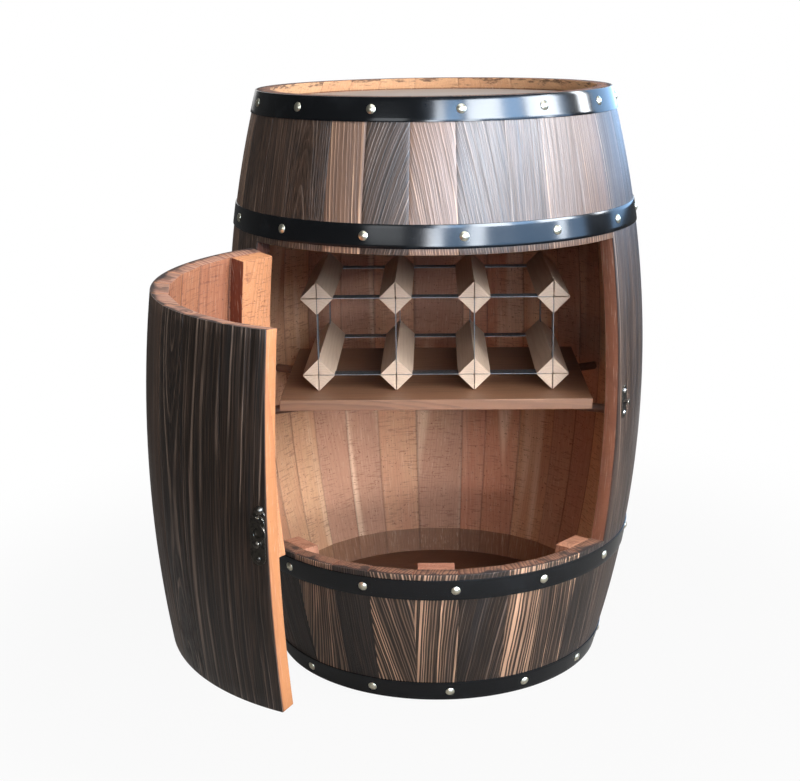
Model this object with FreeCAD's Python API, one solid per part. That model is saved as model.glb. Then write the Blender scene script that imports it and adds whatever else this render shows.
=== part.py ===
import FreeCAD, Part
import math
import os

# Barrel bar cabinet: an upright coopered barrel of 29 staves with a door cut out of its front,
# a bottle rack on an inner shelf and a swing-hook latch.
#
# Frame, in millimetres: the origin is on the barrel's axis at floor level, +Z is up and the front faces -Y.
# A bearing is an angle about the axis, in degrees: 0 at the front, 90 at +X, 180 at the back.

# --- the barrel's outer shape
HEIGHT = 800.0
BELLY_RADIUS = 293.0
BELLY_Z = 412.0
HALF_LENGTH = 400.0
BULGE = 56.0
STAVE_THICKNESS = 22.0

# --- how the staves share the circle, in degrees of width, from the left edge of the opening to the right
OPENING_HALF_ANGLE = 55.4
OPENING_STAVE_WIDTHS = [11.9, 13.5, 11.0, 12.5, 12.5, 14.0, 10.5, 13.0, 11.9]
RIGHT_STAVE_WIDTHS = [12.6, 12.5, 11.5, 11.5, 11.0, 10.5]
BACK_STAVE_WIDTHS = [10.0, 14.0, 13.0, 8.4, 16.6, 14.0, 12.2, 13.3, 11.5]
LEFT_STAVE_WIDTHS = [12.0, 13.0, 14.0, 13.6, 14.0]

# --- the door opening
SILL_Z = 198.0
LINTEL_Z = 614.0
DOOR_GAP_Z = 2.5
DOOR_GAP_ANGLE = 0.4
DOOR_TOP_BEVEL = 3.0

# --- stave ends: a turned howel, a groove for the head and a chime
HOWEL_LENGTH = 70.0
HOWEL_DEPTH = 4.0
HOWEL_STEP = 3.0
HEAD_RECESS = 16.0
HEAD_THICKNESS = 18.0
HEAD_TONGUE = 8.0
GROOVE_DEPTH = 5.0
HEAD_CLEARANCE = 0.3
HEAD_BOARDS = 6

# --- hoops
HOOP_WIDTH = 29.0
HOOP_THICKNESS = 1.5
UPPER_QUARTER_HOOP_Z = 622.0
LOWER_QUARTER_HOOP_Z = 161.5
HOOP_LAP = 44.0
RIVET_RADIUS = 2.5
RIVET_HEAD_RADIUS = 4.5
RIVET_HEAD_HEIGHT = 1.6

# --- hoop nails: domed heads, evenly spaced round each hoop
NAIL_COUNT = 14
NAIL_RADIUS = 1.4
NAIL_LENGTH = 17.0
NAIL_HEAD_RADIUS = 6.0
NAIL_HEAD_HEIGHT = 3.0

# --- battens glued inside the staves below the door
BATTEN_THICKNESS = 22.0
BATTEN_STAVES = [0, 4, 8]

# --- shelf and its pins
SHELF_TOP_Z = 395.0
SHELF_THICKNESS = 15.0
SHELF_HALF_WIDTH = 210.5
SHELF_FRONT_Y = -140.0
SHELF_BACK_Y = 160.0
PIN_RADIUS = 6.0
PIN_INSET = 14.0
PIN_TIP_RADIUS = 215.0
PIN_BEARINGS = [63.0, 117.0, 243.0, 297.0]

# --- bottle rack: square posts set on edge, joined by thin steel strips
POST_SIDE = 32.0
RACK_PITCH = 107.0
RACK_COLUMNS = 4
RACK_FRONT_Y = -93.0
RACK_DEPTH = 250.0
KERF_WIDTH = 1.2
KERF_DEPTH = 24.0
STRIP_THICKNESS = 1.0
STRIP_WIDTH = 21.0
STRIP_SET_BACK = 1.0
STRIP_END_GAP = 1.5

# --- hinges: two butt hinges on one pin line just outside the belly, which leans outwards at the top
HINGE_PIN_LINE_RADIUS = 299.0
HINGE_LEAN = 0.57
HINGE_HEIGHT = 60.0
HINGE_Z = {"lower": 290.0, "upper": 525.0}
LEAF_THICKNESS = 1.2
LEAF_GAP = 0.3
LEAF_REACH = 27.0
KNUCKLE_RADIUS = 3.4
KNUCKLE_CLEARANCE = 0.3
HINGE_PIN_RADIUS = 1.5
PIN_FIT = 0.05
PIN_CAP_RADIUS = 2.6
PIN_CAP_HEIGHT = 1.4
HINGE_SCREW_SPACING = 20.0

# --- screws
SCREW_RADIUS = 1.5
SCREW_HEAD_RADIUS = 3.0
SCREW_LENGTH = 16.0

# --- latch: a swing hook on the door and its stud on the staves beside the door
LATCH_Z = 394.0
LATCH_EDGE_DISTANCE = 11.0
LATCH_PLATE_WIDTH = 18.0
LATCH_PLATE_LOW = -23.0
LATCH_PLATE_HIGH = 31.0
LATCH_PLATE_THICKNESS = 1.2
LATCH_SCREW_OFFSETS = [-16.5, 26.0]
HOOK_THICKNESS = 2.0
HOOK_LIFT = 1.6
HOOK_REACH = 30.4
HOOK_BOSS_RADIUS = 5.5
HOOK_RING_CENTRE = 12.5
HOOK_RING_OUTER = 9.0
HOOK_RING_INNER = 5.6
HOOK_HEAD_RADIUS = 7.5
HOOK_MOUTH_RADIUS = 3.4
HOOK_STEM_WIDTH = 7.0
HOOK_KNOB_RADIUS = 4.2
HOOK_KNOB_U = 1.5
HOOK_KNOB_W = 39.0
HOOK_REST_LEAN = 8.0
LATCH_RIVET_RADIUS = 2.0
LATCH_RIVET_HEAD_RADIUS = 4.0
LATCH_RIVET_HEAD_HEIGHT = 1.6
CATCH_BEARING = 58.72
CATCH_WIDTH = 14.0
CATCH_HALF_HEIGHT = 22.0
CATCH_SCREW_OFFSET = 15.0
STUD_RADIUS = 2.2
STUD_HEAD_RADIUS = 3.5
STUD_LIFT = 6.4
STUD_HEAD_HEIGHT = 1.6

# --- the pose the cabinet is drawn in: the door stands this far open
DOOR_OPEN_ANGLE = 81.2

ORIGIN = FreeCAD.Vector(0, 0, 0)
UP = FreeCAD.Vector(0, 0, 1)
FRONT = FreeCAD.Vector(0, -1, 0)

# the stave arc: its radius, and how far its centre lies from the barrel's axis
ARC_RADIUS = (HALF_LENGTH ** 2 + BULGE ** 2) / (2 * BULGE)
ARC_CENTRE = BELLY_RADIUS - ARC_RADIUS


def surface_radius(z, offset=0.0):
    """Radius at height z of the barrel's outer surface, moved outwards by offset."""
    return ARC_CENTRE + math.sqrt((ARC_RADIUS + offset) ** 2 - (z - BELLY_Z) ** 2)


def outward(bearing):
    angle = math.radians(bearing)
    return FreeCAD.Vector(math.sin(angle), -math.cos(angle), 0)


def along(bearing):
    """Horizontal direction of growing bearing."""
    angle = math.radians(bearing)
    return FreeCAD.Vector(math.cos(angle), math.sin(angle), 0)


def turned(shape, angle, centre=ORIGIN, axis=UP):
    copy = shape.copy()
    copy.rotate(centre, axis, angle)
    return copy


def outline_face(points):
    """Face in the XZ plane from (x, z) points; a 3-tuple of points stands for an arc through them."""
    edges = []
    last = None
    first = None
    for item in points:
        if isinstance(item[0], tuple):
            start, middle, end = [FreeCAD.Vector(x, 0, z) for x, z in item]
            if last is not None and (last - start).Length > 1e-6:
                edges.append(Part.makeLine(last, start))
            edges.append(Part.Arc(start, middle, end).toShape())
            last = end
        else:
            start = FreeCAD.Vector(item[0], 0, item[1])
            if last is not None:
                edges.append(Part.makeLine(last, start))
            last = start
        if first is None:
            first = start
    if (last - first).Length > 1e-6:
        edges.append(Part.makeLine(last, first))
    return Part.Face(Part.Wire(edges))


def stave_arc(offset, z0, z1):
    zm = (z0 + z1) / 2
    return tuple((surface_radius(z, offset), z) for z in (z0, zm, z1))


def shell_face(inner, outer, z0, z1):
    """Section of a shell between two offsets of the outer surface, in the XZ plane."""
    return outline_face([stave_arc(outer, z0, z1), stave_arc(inner, z1, z0)])


def revolved(face, bearing0, bearing1):
    start = turned(face, bearing0 - 90)
    return start.revolve(ORIGIN, UP, bearing1 - bearing0)


def full_ring(face):
    return face.revolve(ORIGIN, UP, 360)


def cylinder(radius, length, base, direction):
    return Part.makeCylinder(radius, length, base, direction)


def dome(radius, height, base, direction):
    """Low round-topped head: the cap of a sphere, standing on its flat base."""
    sphere_radius = (radius ** 2 + height ** 2) / (2 * height)
    cap = Part.makeSphere(sphere_radius, ORIGIN, UP, 0, 90, 360)
    cap.translate(FreeCAD.Vector(0, 0, height - sphere_radius))
    cap = cap.common(Part.makeCylinder(radius * 1.01, height * 1.01))
    cap.Placement = FreeCAD.Placement(base, FreeCAD.Rotation(UP, direction))
    return cap


def solid(shape):
    """The single solid of a boolean result."""
    parts = shape.removeSplitter().Solids
    if len(parts) != 1:
        raise ValueError("expected one solid, found %d" % len(parts))
    return parts[0]


def local_box(origin, x_axis, y_axis, x0, x1, y0, y1, z0, z1):
    """Upright box between limits measured from origin along two horizontal directions and Z."""
    corners = [(x0, y0), (x1, y0), (x1, y1), (x0, y1)]
    points = [origin + x_axis * x + y_axis * y + UP * z0 for x, y in corners]
    wire = Part.makePolygon(points + points[:1])
    return Part.Face(wire).extrude(UP * (z1 - z0))


# --- the door's top edge: it slopes down inwards, so that it clears the lintel

def door_top_cutter():
    """Space over the door's top edge, which drops by its bevel through the thickness of a stave."""
    top = LINTEL_Z - DOOR_GAP_Z
    outer = surface_radius(top)
    reach = STAVE_THICKNESS + BATTEN_THICKNESS + 10
    inner_z = top - DOOR_TOP_BEVEL * reach / STAVE_THICKNESS
    return full_ring(outline_face([(outer, top), (outer, top + 1), (outer - reach, top + 1),
                                   (outer - reach, inner_z)]))


# --- stave ends: one cutter at each end turns the howel, the head groove and the chime

def end_cutter(end_z, inward):
    """Ring-shaped space cut out of the stave ends; inward is +1 at the bottom and -1 at the top."""
    def inner(depth):
        return surface_radius(end_z + inward * depth, -STAVE_THICKNESS)

    head_far = HEAD_RECESS + HEAD_THICKNESS
    tongue_start = HEAD_RECESS + (HEAD_THICKNESS - HEAD_TONGUE) / 2
    tongue_end = tongue_start + HEAD_TONGUE
    chime_radius = inner(0) + HOWEL_DEPTH
    howel_radius = inner(head_far) + HOWEL_DEPTH
    core = howel_radius - 3 * HOWEL_DEPTH - STAVE_THICKNESS
    profile = [
        (core, -1.0),
        (chime_radius, -1.0),
        (howel_radius, tongue_start),
        (howel_radius + GROOVE_DEPTH, tongue_start),
        (howel_radius + GROOVE_DEPTH, tongue_end),
        (howel_radius, tongue_end),
        (howel_radius, head_far),
        (inner(HOWEL_LENGTH) + HOWEL_STEP, HOWEL_LENGTH),
        (core, HOWEL_LENGTH),
    ]
    return full_ring(outline_face([(r, end_z + inward * depth) for r, depth in profile]))


def head_radius(end_z, inward):
    depth = HEAD_RECESS + HEAD_THICKNESS
    return surface_radius(end_z + inward * depth, -STAVE_THICKNESS) + HOWEL_DEPTH


BOTTOM_CUTTER = end_cutter(0.0, 1)
TOP_CUTTER = end_cutter(HEIGHT, -1)


def stave(bearing0, bearing1, z0, z1, thickness=STAVE_THICKNESS):
    """One stave: round outside, flat across its inner face, with radial edges."""
    middle = (bearing0 + bearing1) / 2
    reach = 2 * surface_radius(BELLY_Z) * math.sin(math.radians(bearing1 - bearing0) / 2)
    wedge = revolved(shell_face(-thickness - 8, 0, z0, z1), bearing0, bearing1)
    hollow = shell_face(-thickness - 40, -thickness, z0 - 2, z1 + 2)
    hollow = turned(hollow, middle - 90)
    hollow.translate(along(middle) * -reach)
    blank = wedge.cut(hollow.extrude(along(middle) * (2 * reach)))
    if z0 <= 0:
        blank = blank.cut(BOTTOM_CUTTER)
    if z1 >= HEIGHT:
        blank = blank.cut(TOP_CUTTER)
    return solid(blank)


# --- fasteners that stand in the round wall

def wall_fastener(bearing, z, seat, shank_radius, shank_length, cap_radius, cap_height):
    """Dome-headed nail or rivet driven square to the wall; seat is how proud its head sits."""
    slope = math.asin((z - BELLY_Z) / ARC_RADIUS)
    direction = outward(bearing) * math.cos(slope) + UP * math.sin(slope)
    base = outward(bearing) * surface_radius(z) + UP * z + direction * seat
    head = dome(cap_radius, cap_height, base, direction)
    shank = cylinder(shank_radius, shank_length, base, direction * -1)
    return solid(head.fuse(shank))


def lap_bearing(phase):
    """Bearing of a hoop's lap: midway between the two nails nearest the back."""
    return phase + (NAIL_COUNT // 2 - 0.5) * 360.0 / NAIL_COUNT


def hoop(z0, phase):
    """Steel band that follows the barrel, its end lapped over its start and riveted."""
    z1 = z0 + HOOP_WIDTH
    half_lap = math.degrees(HOOP_LAP / 2 / surface_radius((z0 + z1) / 2))
    start = lap_bearing(phase) - half_lap
    end = lap_bearing(phase) + half_lap
    band = revolved(shell_face(0, HOOP_THICKNESS, z0, z1), end, start + 360)
    lap = revolved(shell_face(0, 2 * HOOP_THICKNESS, z0, z1), start, end)
    return band.fuse(lap)


def hoop_rivets(z0, phase):
    z = z0 + HOOP_WIDTH / 2
    step = math.degrees(HOOP_LAP / 4 / surface_radius(z))
    rivets = []
    for bearing in (lap_bearing(phase) - step, lap_bearing(phase) + step):
        rivets.append(wall_fastener(bearing, z, 2 * HOOP_THICKNESS, RIVET_RADIUS,
                                    1.5 * HOOP_THICKNESS, RIVET_HEAD_RADIUS, RIVET_HEAD_HEIGHT))
    return rivets


def hoop_nails(z0, phase):
    z = z0 + HOOP_WIDTH / 2
    spacing = 360.0 / NAIL_COUNT
    return [wall_fastener(phase + spacing * n, z, HOOP_THICKNESS, NAIL_RADIUS,
                          NAIL_LENGTH, NAIL_HEAD_RADIUS, NAIL_HEAD_HEIGHT)
            for n in range(NAIL_COUNT)]


HOOPS = {
    "top_chime": (HEIGHT - HOOP_WIDTH, 7.8),
    "upper_quarter": (UPPER_QUARTER_HOOP_Z, 7.5),
    "lower_quarter": (LOWER_QUARTER_HOOP_Z, 5.1),
    "bottom_chime": (0.0, 4.0),
}


# --- heads: boards side by side, with a tongue all round

def head_boards(end_z, inward):
    radius = head_radius(end_z, inward) - HEAD_CLEARANCE
    near = HEAD_RECESS
    far = HEAD_RECESS + HEAD_THICKNESS
    tongue_start = near + (HEAD_THICKNESS - HEAD_TONGUE) / 2 + HEAD_CLEARANCE / 2
    tongue_end = tongue_start + HEAD_TONGUE - HEAD_CLEARANCE
    chime_drop = (head_radius(end_z, inward)
                  - surface_radius(end_z, -STAVE_THICKNESS) - HOWEL_DEPTH)
    near_radius = radius - chime_drop
    profile = [
        (0.0, near), (near_radius, near), (near_radius, tongue_start),
        (radius + GROOVE_DEPTH - HEAD_CLEARANCE, tongue_start),
        (radius + GROOVE_DEPTH - HEAD_CLEARANCE, tongue_end),
        (radius, tongue_end), (radius, far), (0.0, far),
    ]
    disc = full_ring(outline_face([(r, end_z + inward * d) for r, d in profile]))
    reach = radius + 2 * GROOVE_DEPTH
    width = 2 * reach / HEAD_BOARDS
    z0, z1 = sorted((end_z, end_z + inward * (far + 1)))
    boards = []
    for n in range(HEAD_BOARDS):
        y0 = -reach + n * width
        slab = Part.makeBox(2 * reach, width, z1 - z0, FreeCAD.Vector(-reach, y0, z0))
        boards.append(solid(disc.common(slab)))
    return boards


# --- shelf and the dowels it rests on

def shelf():
    return Part.makeBox(2 * SHELF_HALF_WIDTH, SHELF_BACK_Y - SHELF_FRONT_Y, SHELF_THICKNESS,
                        FreeCAD.Vector(-SHELF_HALF_WIDTH, SHELF_FRONT_Y, SHELF_TOP_Z - SHELF_THICKNESS))


def shelf_pins():
    z = SHELF_TOP_Z - SHELF_THICKNESS - PIN_RADIUS
    outer = surface_radius(z, -STAVE_THICKNESS + PIN_INSET)
    return [cylinder(PIN_RADIUS, outer - PIN_TIP_RADIUS, outward(b) * PIN_TIP_RADIUS + UP * z, outward(b))
            for b in PIN_BEARINGS]


# --- bottle rack

POST_HALF_DIAGONAL = POST_SIDE / math.sqrt(2)
RACK_ROWS = [SHELF_TOP_Z + POST_HALF_DIAGONAL, SHELF_TOP_Z + POST_HALF_DIAGONAL + RACK_PITCH]
RACK_BACK_Y = RACK_FRONT_Y + RACK_DEPTH
COLUMN_X = [RACK_PITCH * (n - (RACK_COLUMNS - 1) / 2) for n in range(RACK_COLUMNS)]


def rack_post(x, z):
    """Square post on edge, with a cross of saw kerfs in each end."""
    reach = POST_HALF_DIAGONAL
    corners = [(x, z - reach), (x + reach, z), (x, z + reach), (x - reach, z)]
    face = outline_face(corners)
    face.translate(FreeCAD.Vector(0, RACK_FRONT_Y, 0))
    post = face.extrude(FreeCAD.Vector(0, RACK_DEPTH, 0))
    for y in (RACK_FRONT_Y, RACK_BACK_Y - KERF_DEPTH):
        upright = Part.makeBox(KERF_WIDTH, KERF_DEPTH, 2 * reach + 2,
                               FreeCAD.Vector(x - KERF_WIDTH / 2, y, z - reach - 1))
        level = Part.makeBox(2 * reach + 2, KERF_DEPTH, KERF_WIDTH,
                             FreeCAD.Vector(x - reach - 1, y, z - KERF_WIDTH / 2))
        post = post.cut(upright.fuse(level))
    return solid(post)


def strip_ys():
    return [RACK_FRONT_Y + STRIP_SET_BACK, RACK_BACK_Y - STRIP_SET_BACK - STRIP_WIDTH]


def level_strips():
    length = RACK_PITCH - 2 * STRIP_END_GAP
    return [Part.makeBox(length, STRIP_WIDTH, STRIP_THICKNESS,
                         FreeCAD.Vector(x + STRIP_END_GAP, y, z - STRIP_THICKNESS / 2))
            for z in RACK_ROWS for x in COLUMN_X[:-1] for y in strip_ys()]


def upright_strips():
    length = RACK_PITCH - 2 * STRIP_END_GAP
    return [Part.makeBox(STRIP_THICKNESS, STRIP_WIDTH, length,
                         FreeCAD.Vector(x - STRIP_THICKNESS / 2, y, RACK_ROWS[0] + STRIP_END_GAP))
            for x in COLUMN_X for y in strip_ys()]


# --- hinges, drawn with the door shut; the two leaves face each other across the joint

HINGE_BEARING = -OPENING_HALF_ANGLE + DOOR_GAP_ANGLE / 2
HINGE_LINE = outward(HINGE_BEARING) * HINGE_PIN_LINE_RADIUS
HINGE_OUT = outward(HINGE_BEARING)
HINGE_ALONG = along(HINGE_BEARING)
HINGE_CENTRE = HINGE_LINE + UP * ((SILL_Z + LINTEL_Z) / 2)
HINGE_AXIS = (UP * math.cos(math.radians(HINGE_LEAN))
              + HINGE_OUT * math.sin(math.radians(HINGE_LEAN)))


def leaned(item):
    """A hinge piece, or a list of them, drawn on an upright pin line and leaned onto the real one."""
    if isinstance(item, list):
        return [leaned(one) for one in item]
    return turned(item, HINGE_LEAN, HINGE_CENTRE, HINGE_ALONG)


def hinge_parts(z_middle):
    """Frame leaf, door leaf, pin and the screws of each leaf, for one butt hinge."""
    z0 = z_middle - HINGE_HEIGHT / 2
    third = HINGE_HEIGHT / 3
    clear = KNUCKLE_CLEARANCE
    frame_spans = [(z0, z0 + third - clear / 2), (z0 + 2 * third + clear / 2, z0 + HINGE_HEIGHT)]
    door_spans = [(z0 + third + clear / 2, z0 + 2 * third - clear / 2)]
    bore = cylinder(HINGE_PIN_RADIUS + PIN_FIT, HINGE_HEIGHT + 2, HINGE_LINE + UP * (z0 - 1), UP)

    def leaf(side, spans):
        near = side * LEAF_GAP / 2
        far = side * (LEAF_GAP / 2 + LEAF_THICKNESS)
        along0, along1 = sorted((near, far))
        plate = local_box(HINGE_LINE, HINGE_ALONG, HINGE_OUT, along0, along1,
                          -LEAF_REACH, -1.0, z0, z0 + HINGE_HEIGHT)
        for low, high in [(z0, z0 + third), (z0 + third, z0 + 2 * third), (z0 + 2 * third, z0 + HINGE_HEIGHT)]:
            if not any(low <= (a + b) / 2 <= high for a, b in spans):
                plate = plate.cut(cylinder(KNUCKLE_RADIUS + clear, high - low + clear,
                                           HINGE_LINE + UP * (low - clear / 2), UP))
        for low, high in spans:
            plate = plate.fuse(cylinder(KNUCKLE_RADIUS, high - low, HINGE_LINE + UP * low, UP))
        return plate.cut(bore)

    def screws(side):
        face = HINGE_LINE + HINGE_ALONG * (side * LEAF_GAP / 2) + HINGE_OUT * (-0.7 * LEAF_REACH)
        made = []
        for dz in (-HINGE_SCREW_SPACING, 0, HINGE_SCREW_SPACING):
            base = face + UP * (z_middle + dz)
            direction = HINGE_ALONG * side
            head = Part.makeCone(SCREW_HEAD_RADIUS, SCREW_RADIUS, LEAF_THICKNESS, base, direction)
            shank = cylinder(SCREW_RADIUS, SCREW_LENGTH, base, direction)
            made.append(solid(head.fuse(shank)))
        return made

    frame_screws = screws(-1)
    door_screws = screws(1)
    frame_leaf = solid(cut_all(leaf(-1, frame_spans), frame_screws))
    door_leaf = solid(cut_all(leaf(1, door_spans), door_screws))
    pin = cylinder(HINGE_PIN_RADIUS, HINGE_HEIGHT + 2 * clear, HINGE_LINE + UP * (z0 - clear), UP)
    for end in (z0 - clear - PIN_CAP_HEIGHT, z0 + HINGE_HEIGHT + clear):
        pin = pin.fuse(cylinder(PIN_CAP_RADIUS, PIN_CAP_HEIGHT, HINGE_LINE + UP * end, UP))
    return frame_leaf, door_leaf, solid(pin), frame_screws, door_screws


def cut_all(shape, cutters):
    """Shape with every cutter whose box reaches it taken away."""
    for cutter in cutters:
        if shape.BoundBox.intersect(cutter.BoundBox):
            shape = shape.cut(cutter)
    return shape


# --- latch, in axes of its own: u towards the free edge of the door, w up and n outwards

LATCH_BEARING = (OPENING_HALF_ANGLE - DOOR_GAP_ANGLE
                 - math.degrees(LATCH_EDGE_DISTANCE / surface_radius(LATCH_Z)))


def plate_outline(half_width, low, high):
    """Rounded upright plate outline in the (u, w) plane."""
    r = half_width
    k = r * math.sqrt(0.5)
    return [
        ((-r, low + r), (-k, low + r - k), (0.0, low)),
        ((0.0, low), (k, low + r - k), (r, low + r)),
        ((r, high - r), (k, high - r + k), (0.0, high)),
        ((0.0, high), (-k, high - r + k), (-r, high - r)),
    ]


def flat_plate(points, n0, n1):
    """Plate from a (u, w) outline, lying between n0 and n1; n grows towards -Y before it is placed."""
    face = outline_face(points)
    face.translate(FRONT * n0)
    return face.extrude(FRONT * (n1 - n0))


def on_wall(shape, bearing, z):
    """Moves a shape from latch axes (u = X, w = Z, n = -Y) onto the barrel's surface."""
    placed = turned(shape, bearing)
    placed.translate(outward(bearing) * surface_radius(z) + UP * z)
    return placed


def placed_on_wall(items, bearing):
    """Latch pieces, or lists of them, moved to their bearing at the latch's height."""
    return [[on_wall(one, bearing, LATCH_Z) for one in item] if isinstance(item, list)
            else on_wall(item, bearing, LATCH_Z) for item in items]


def disc_at(u, w, radius, n0, n1):
    return cylinder(radius, n1 - n0, FreeCAD.Vector(u, -n0, w), FRONT)


def plate_screw(w, plate_top, countersunk):
    """Wood screw through a latch plate, with a flush or a domed head."""
    shank = disc_at(0, w, SCREW_RADIUS, plate_top - SCREW_LENGTH, plate_top)
    if countersunk:
        head = Part.makeCone(SCREW_RADIUS, SCREW_HEAD_RADIUS, plate_top,
                             FreeCAD.Vector(0, 0, w), FRONT)
    else:
        head = dome(SCREW_HEAD_RADIUS, SCREW_RADIUS, FreeCAD.Vector(0, -plate_top, w), FRONT)
    return solid(shank.fuse(head))


def latch_parts():
    top = LATCH_PLATE_THICKNESS
    plate = flat_plate(plate_outline(LATCH_PLATE_WIDTH / 2, LATCH_PLATE_LOW, LATCH_PLATE_HIGH), 0, top)
    screws = [plate_screw(LATCH_SCREW_OFFSETS[0], top, False), plate_screw(LATCH_SCREW_OFFSETS[1], top, True)]
    hook_top = HOOK_LIFT + HOOK_THICKNESS
    rivet = disc_at(0, 0, LATCH_RIVET_RADIUS, -STAVE_THICKNESS / 2, hook_top + 0.3)
    rivet_head = dome(LATCH_RIVET_HEAD_RADIUS, LATCH_RIVET_HEAD_HEIGHT,
                      FreeCAD.Vector(0, -hook_top - 0.3, 0), FRONT)
    rivet = solid(rivet.fuse(rivet_head))
    plate = solid(cut_all(plate, screws + [rivet]))
    hook = turned(latch_hook(), HOOK_REST_LEAN, ORIGIN, -FRONT)
    return plate, rivet, screws, hook


def latch_hook():
    """Swing hook drawn upright: pivot boss, ring, stem, hook mouth open towards +u, and a thumb knob."""
    n0, n1 = HOOK_LIFT, HOOK_LIFT + HOOK_THICKNESS
    half_stem = HOOK_STEM_WIDTH / 2
    body = disc_at(0, 0, HOOK_BOSS_RADIUS, n0, n1)
    body = body.fuse(disc_at(0, HOOK_RING_CENTRE, HOOK_RING_OUTER, n0, n1))
    stem_low = HOOK_RING_CENTRE + HOOK_RING_INNER + 1
    stem = flat_plate([(-half_stem, stem_low), (half_stem, stem_low),
                       (half_stem, HOOK_REACH), (-half_stem, HOOK_REACH)], n0, n1)
    body = body.fuse(stem)
    body = body.fuse(disc_at(0, HOOK_REACH, HOOK_HEAD_RADIUS, n0, n1))
    neck = flat_plate([(HOOK_KNOB_U - 2, HOOK_REACH + 4), (HOOK_KNOB_U + 2, HOOK_REACH + 4),
                       (HOOK_KNOB_U + 2, HOOK_KNOB_W), (HOOK_KNOB_U - 2, HOOK_KNOB_W)], n0, n1)
    body = body.fuse(neck)
    knob_centre = FreeCAD.Vector(HOOK_KNOB_U, -(HOOK_LIFT + HOOK_KNOB_RADIUS * 0.9), HOOK_KNOB_W)
    knob = Part.makeSphere(HOOK_KNOB_RADIUS, knob_centre)
    knob = knob.common(disc_at(HOOK_KNOB_U, HOOK_KNOB_W, HOOK_KNOB_RADIUS + 1, n0, n0 + 3 * HOOK_KNOB_RADIUS))
    body = body.fuse(knob)
    mouth = disc_at(0, HOOK_REACH, HOOK_MOUTH_RADIUS, n0 - 1, n1 + 1)
    reach = HOOK_HEAD_RADIUS + 1
    slot = flat_plate([(0, HOOK_REACH - HOOK_MOUTH_RADIUS), (reach, HOOK_REACH - HOOK_MOUTH_RADIUS),
                       (reach, HOOK_REACH + HOOK_MOUTH_RADIUS), (0, HOOK_REACH + HOOK_MOUTH_RADIUS)],
                      n0 - 1, n1 + 1)
    body = body.cut(mouth.fuse(slot))
    body = body.cut(disc_at(0, HOOK_RING_CENTRE, HOOK_RING_INNER, n0 - 1, n1 + 1))
    body = body.cut(disc_at(0, 0, LATCH_RIVET_RADIUS + PIN_FIT, n0 - 1, n1 + 1))
    return solid(body)


def catch_parts():
    top = LATCH_PLATE_THICKNESS
    plate = flat_plate(plate_outline(CATCH_WIDTH / 2, -CATCH_HALF_HEIGHT, CATCH_HALF_HEIGHT), 0, top)
    screws = [plate_screw(w, top, False) for w in (-CATCH_SCREW_OFFSET, CATCH_SCREW_OFFSET)]
    post = disc_at(0, 0, STUD_RADIUS, -STAVE_THICKNESS / 2, STUD_LIFT)
    head = disc_at(0, 0, STUD_HEAD_RADIUS, STUD_LIFT, STUD_LIFT + STUD_HEAD_HEIGHT)
    stud = solid(post.fuse(head))
    plate = solid(cut_all(plate, screws + [stud]))
    return plate, stud, screws


# --- assembly

def bearings_from(start, widths):
    edges = [start]
    for width in widths:
        edges.append(edges[-1] + width)
    return edges


def spread(widths, total):
    """Widths scaled so that together they fill their part of the circle."""
    factor = total / sum(widths)
    return [width * factor for width in widths]


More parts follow.
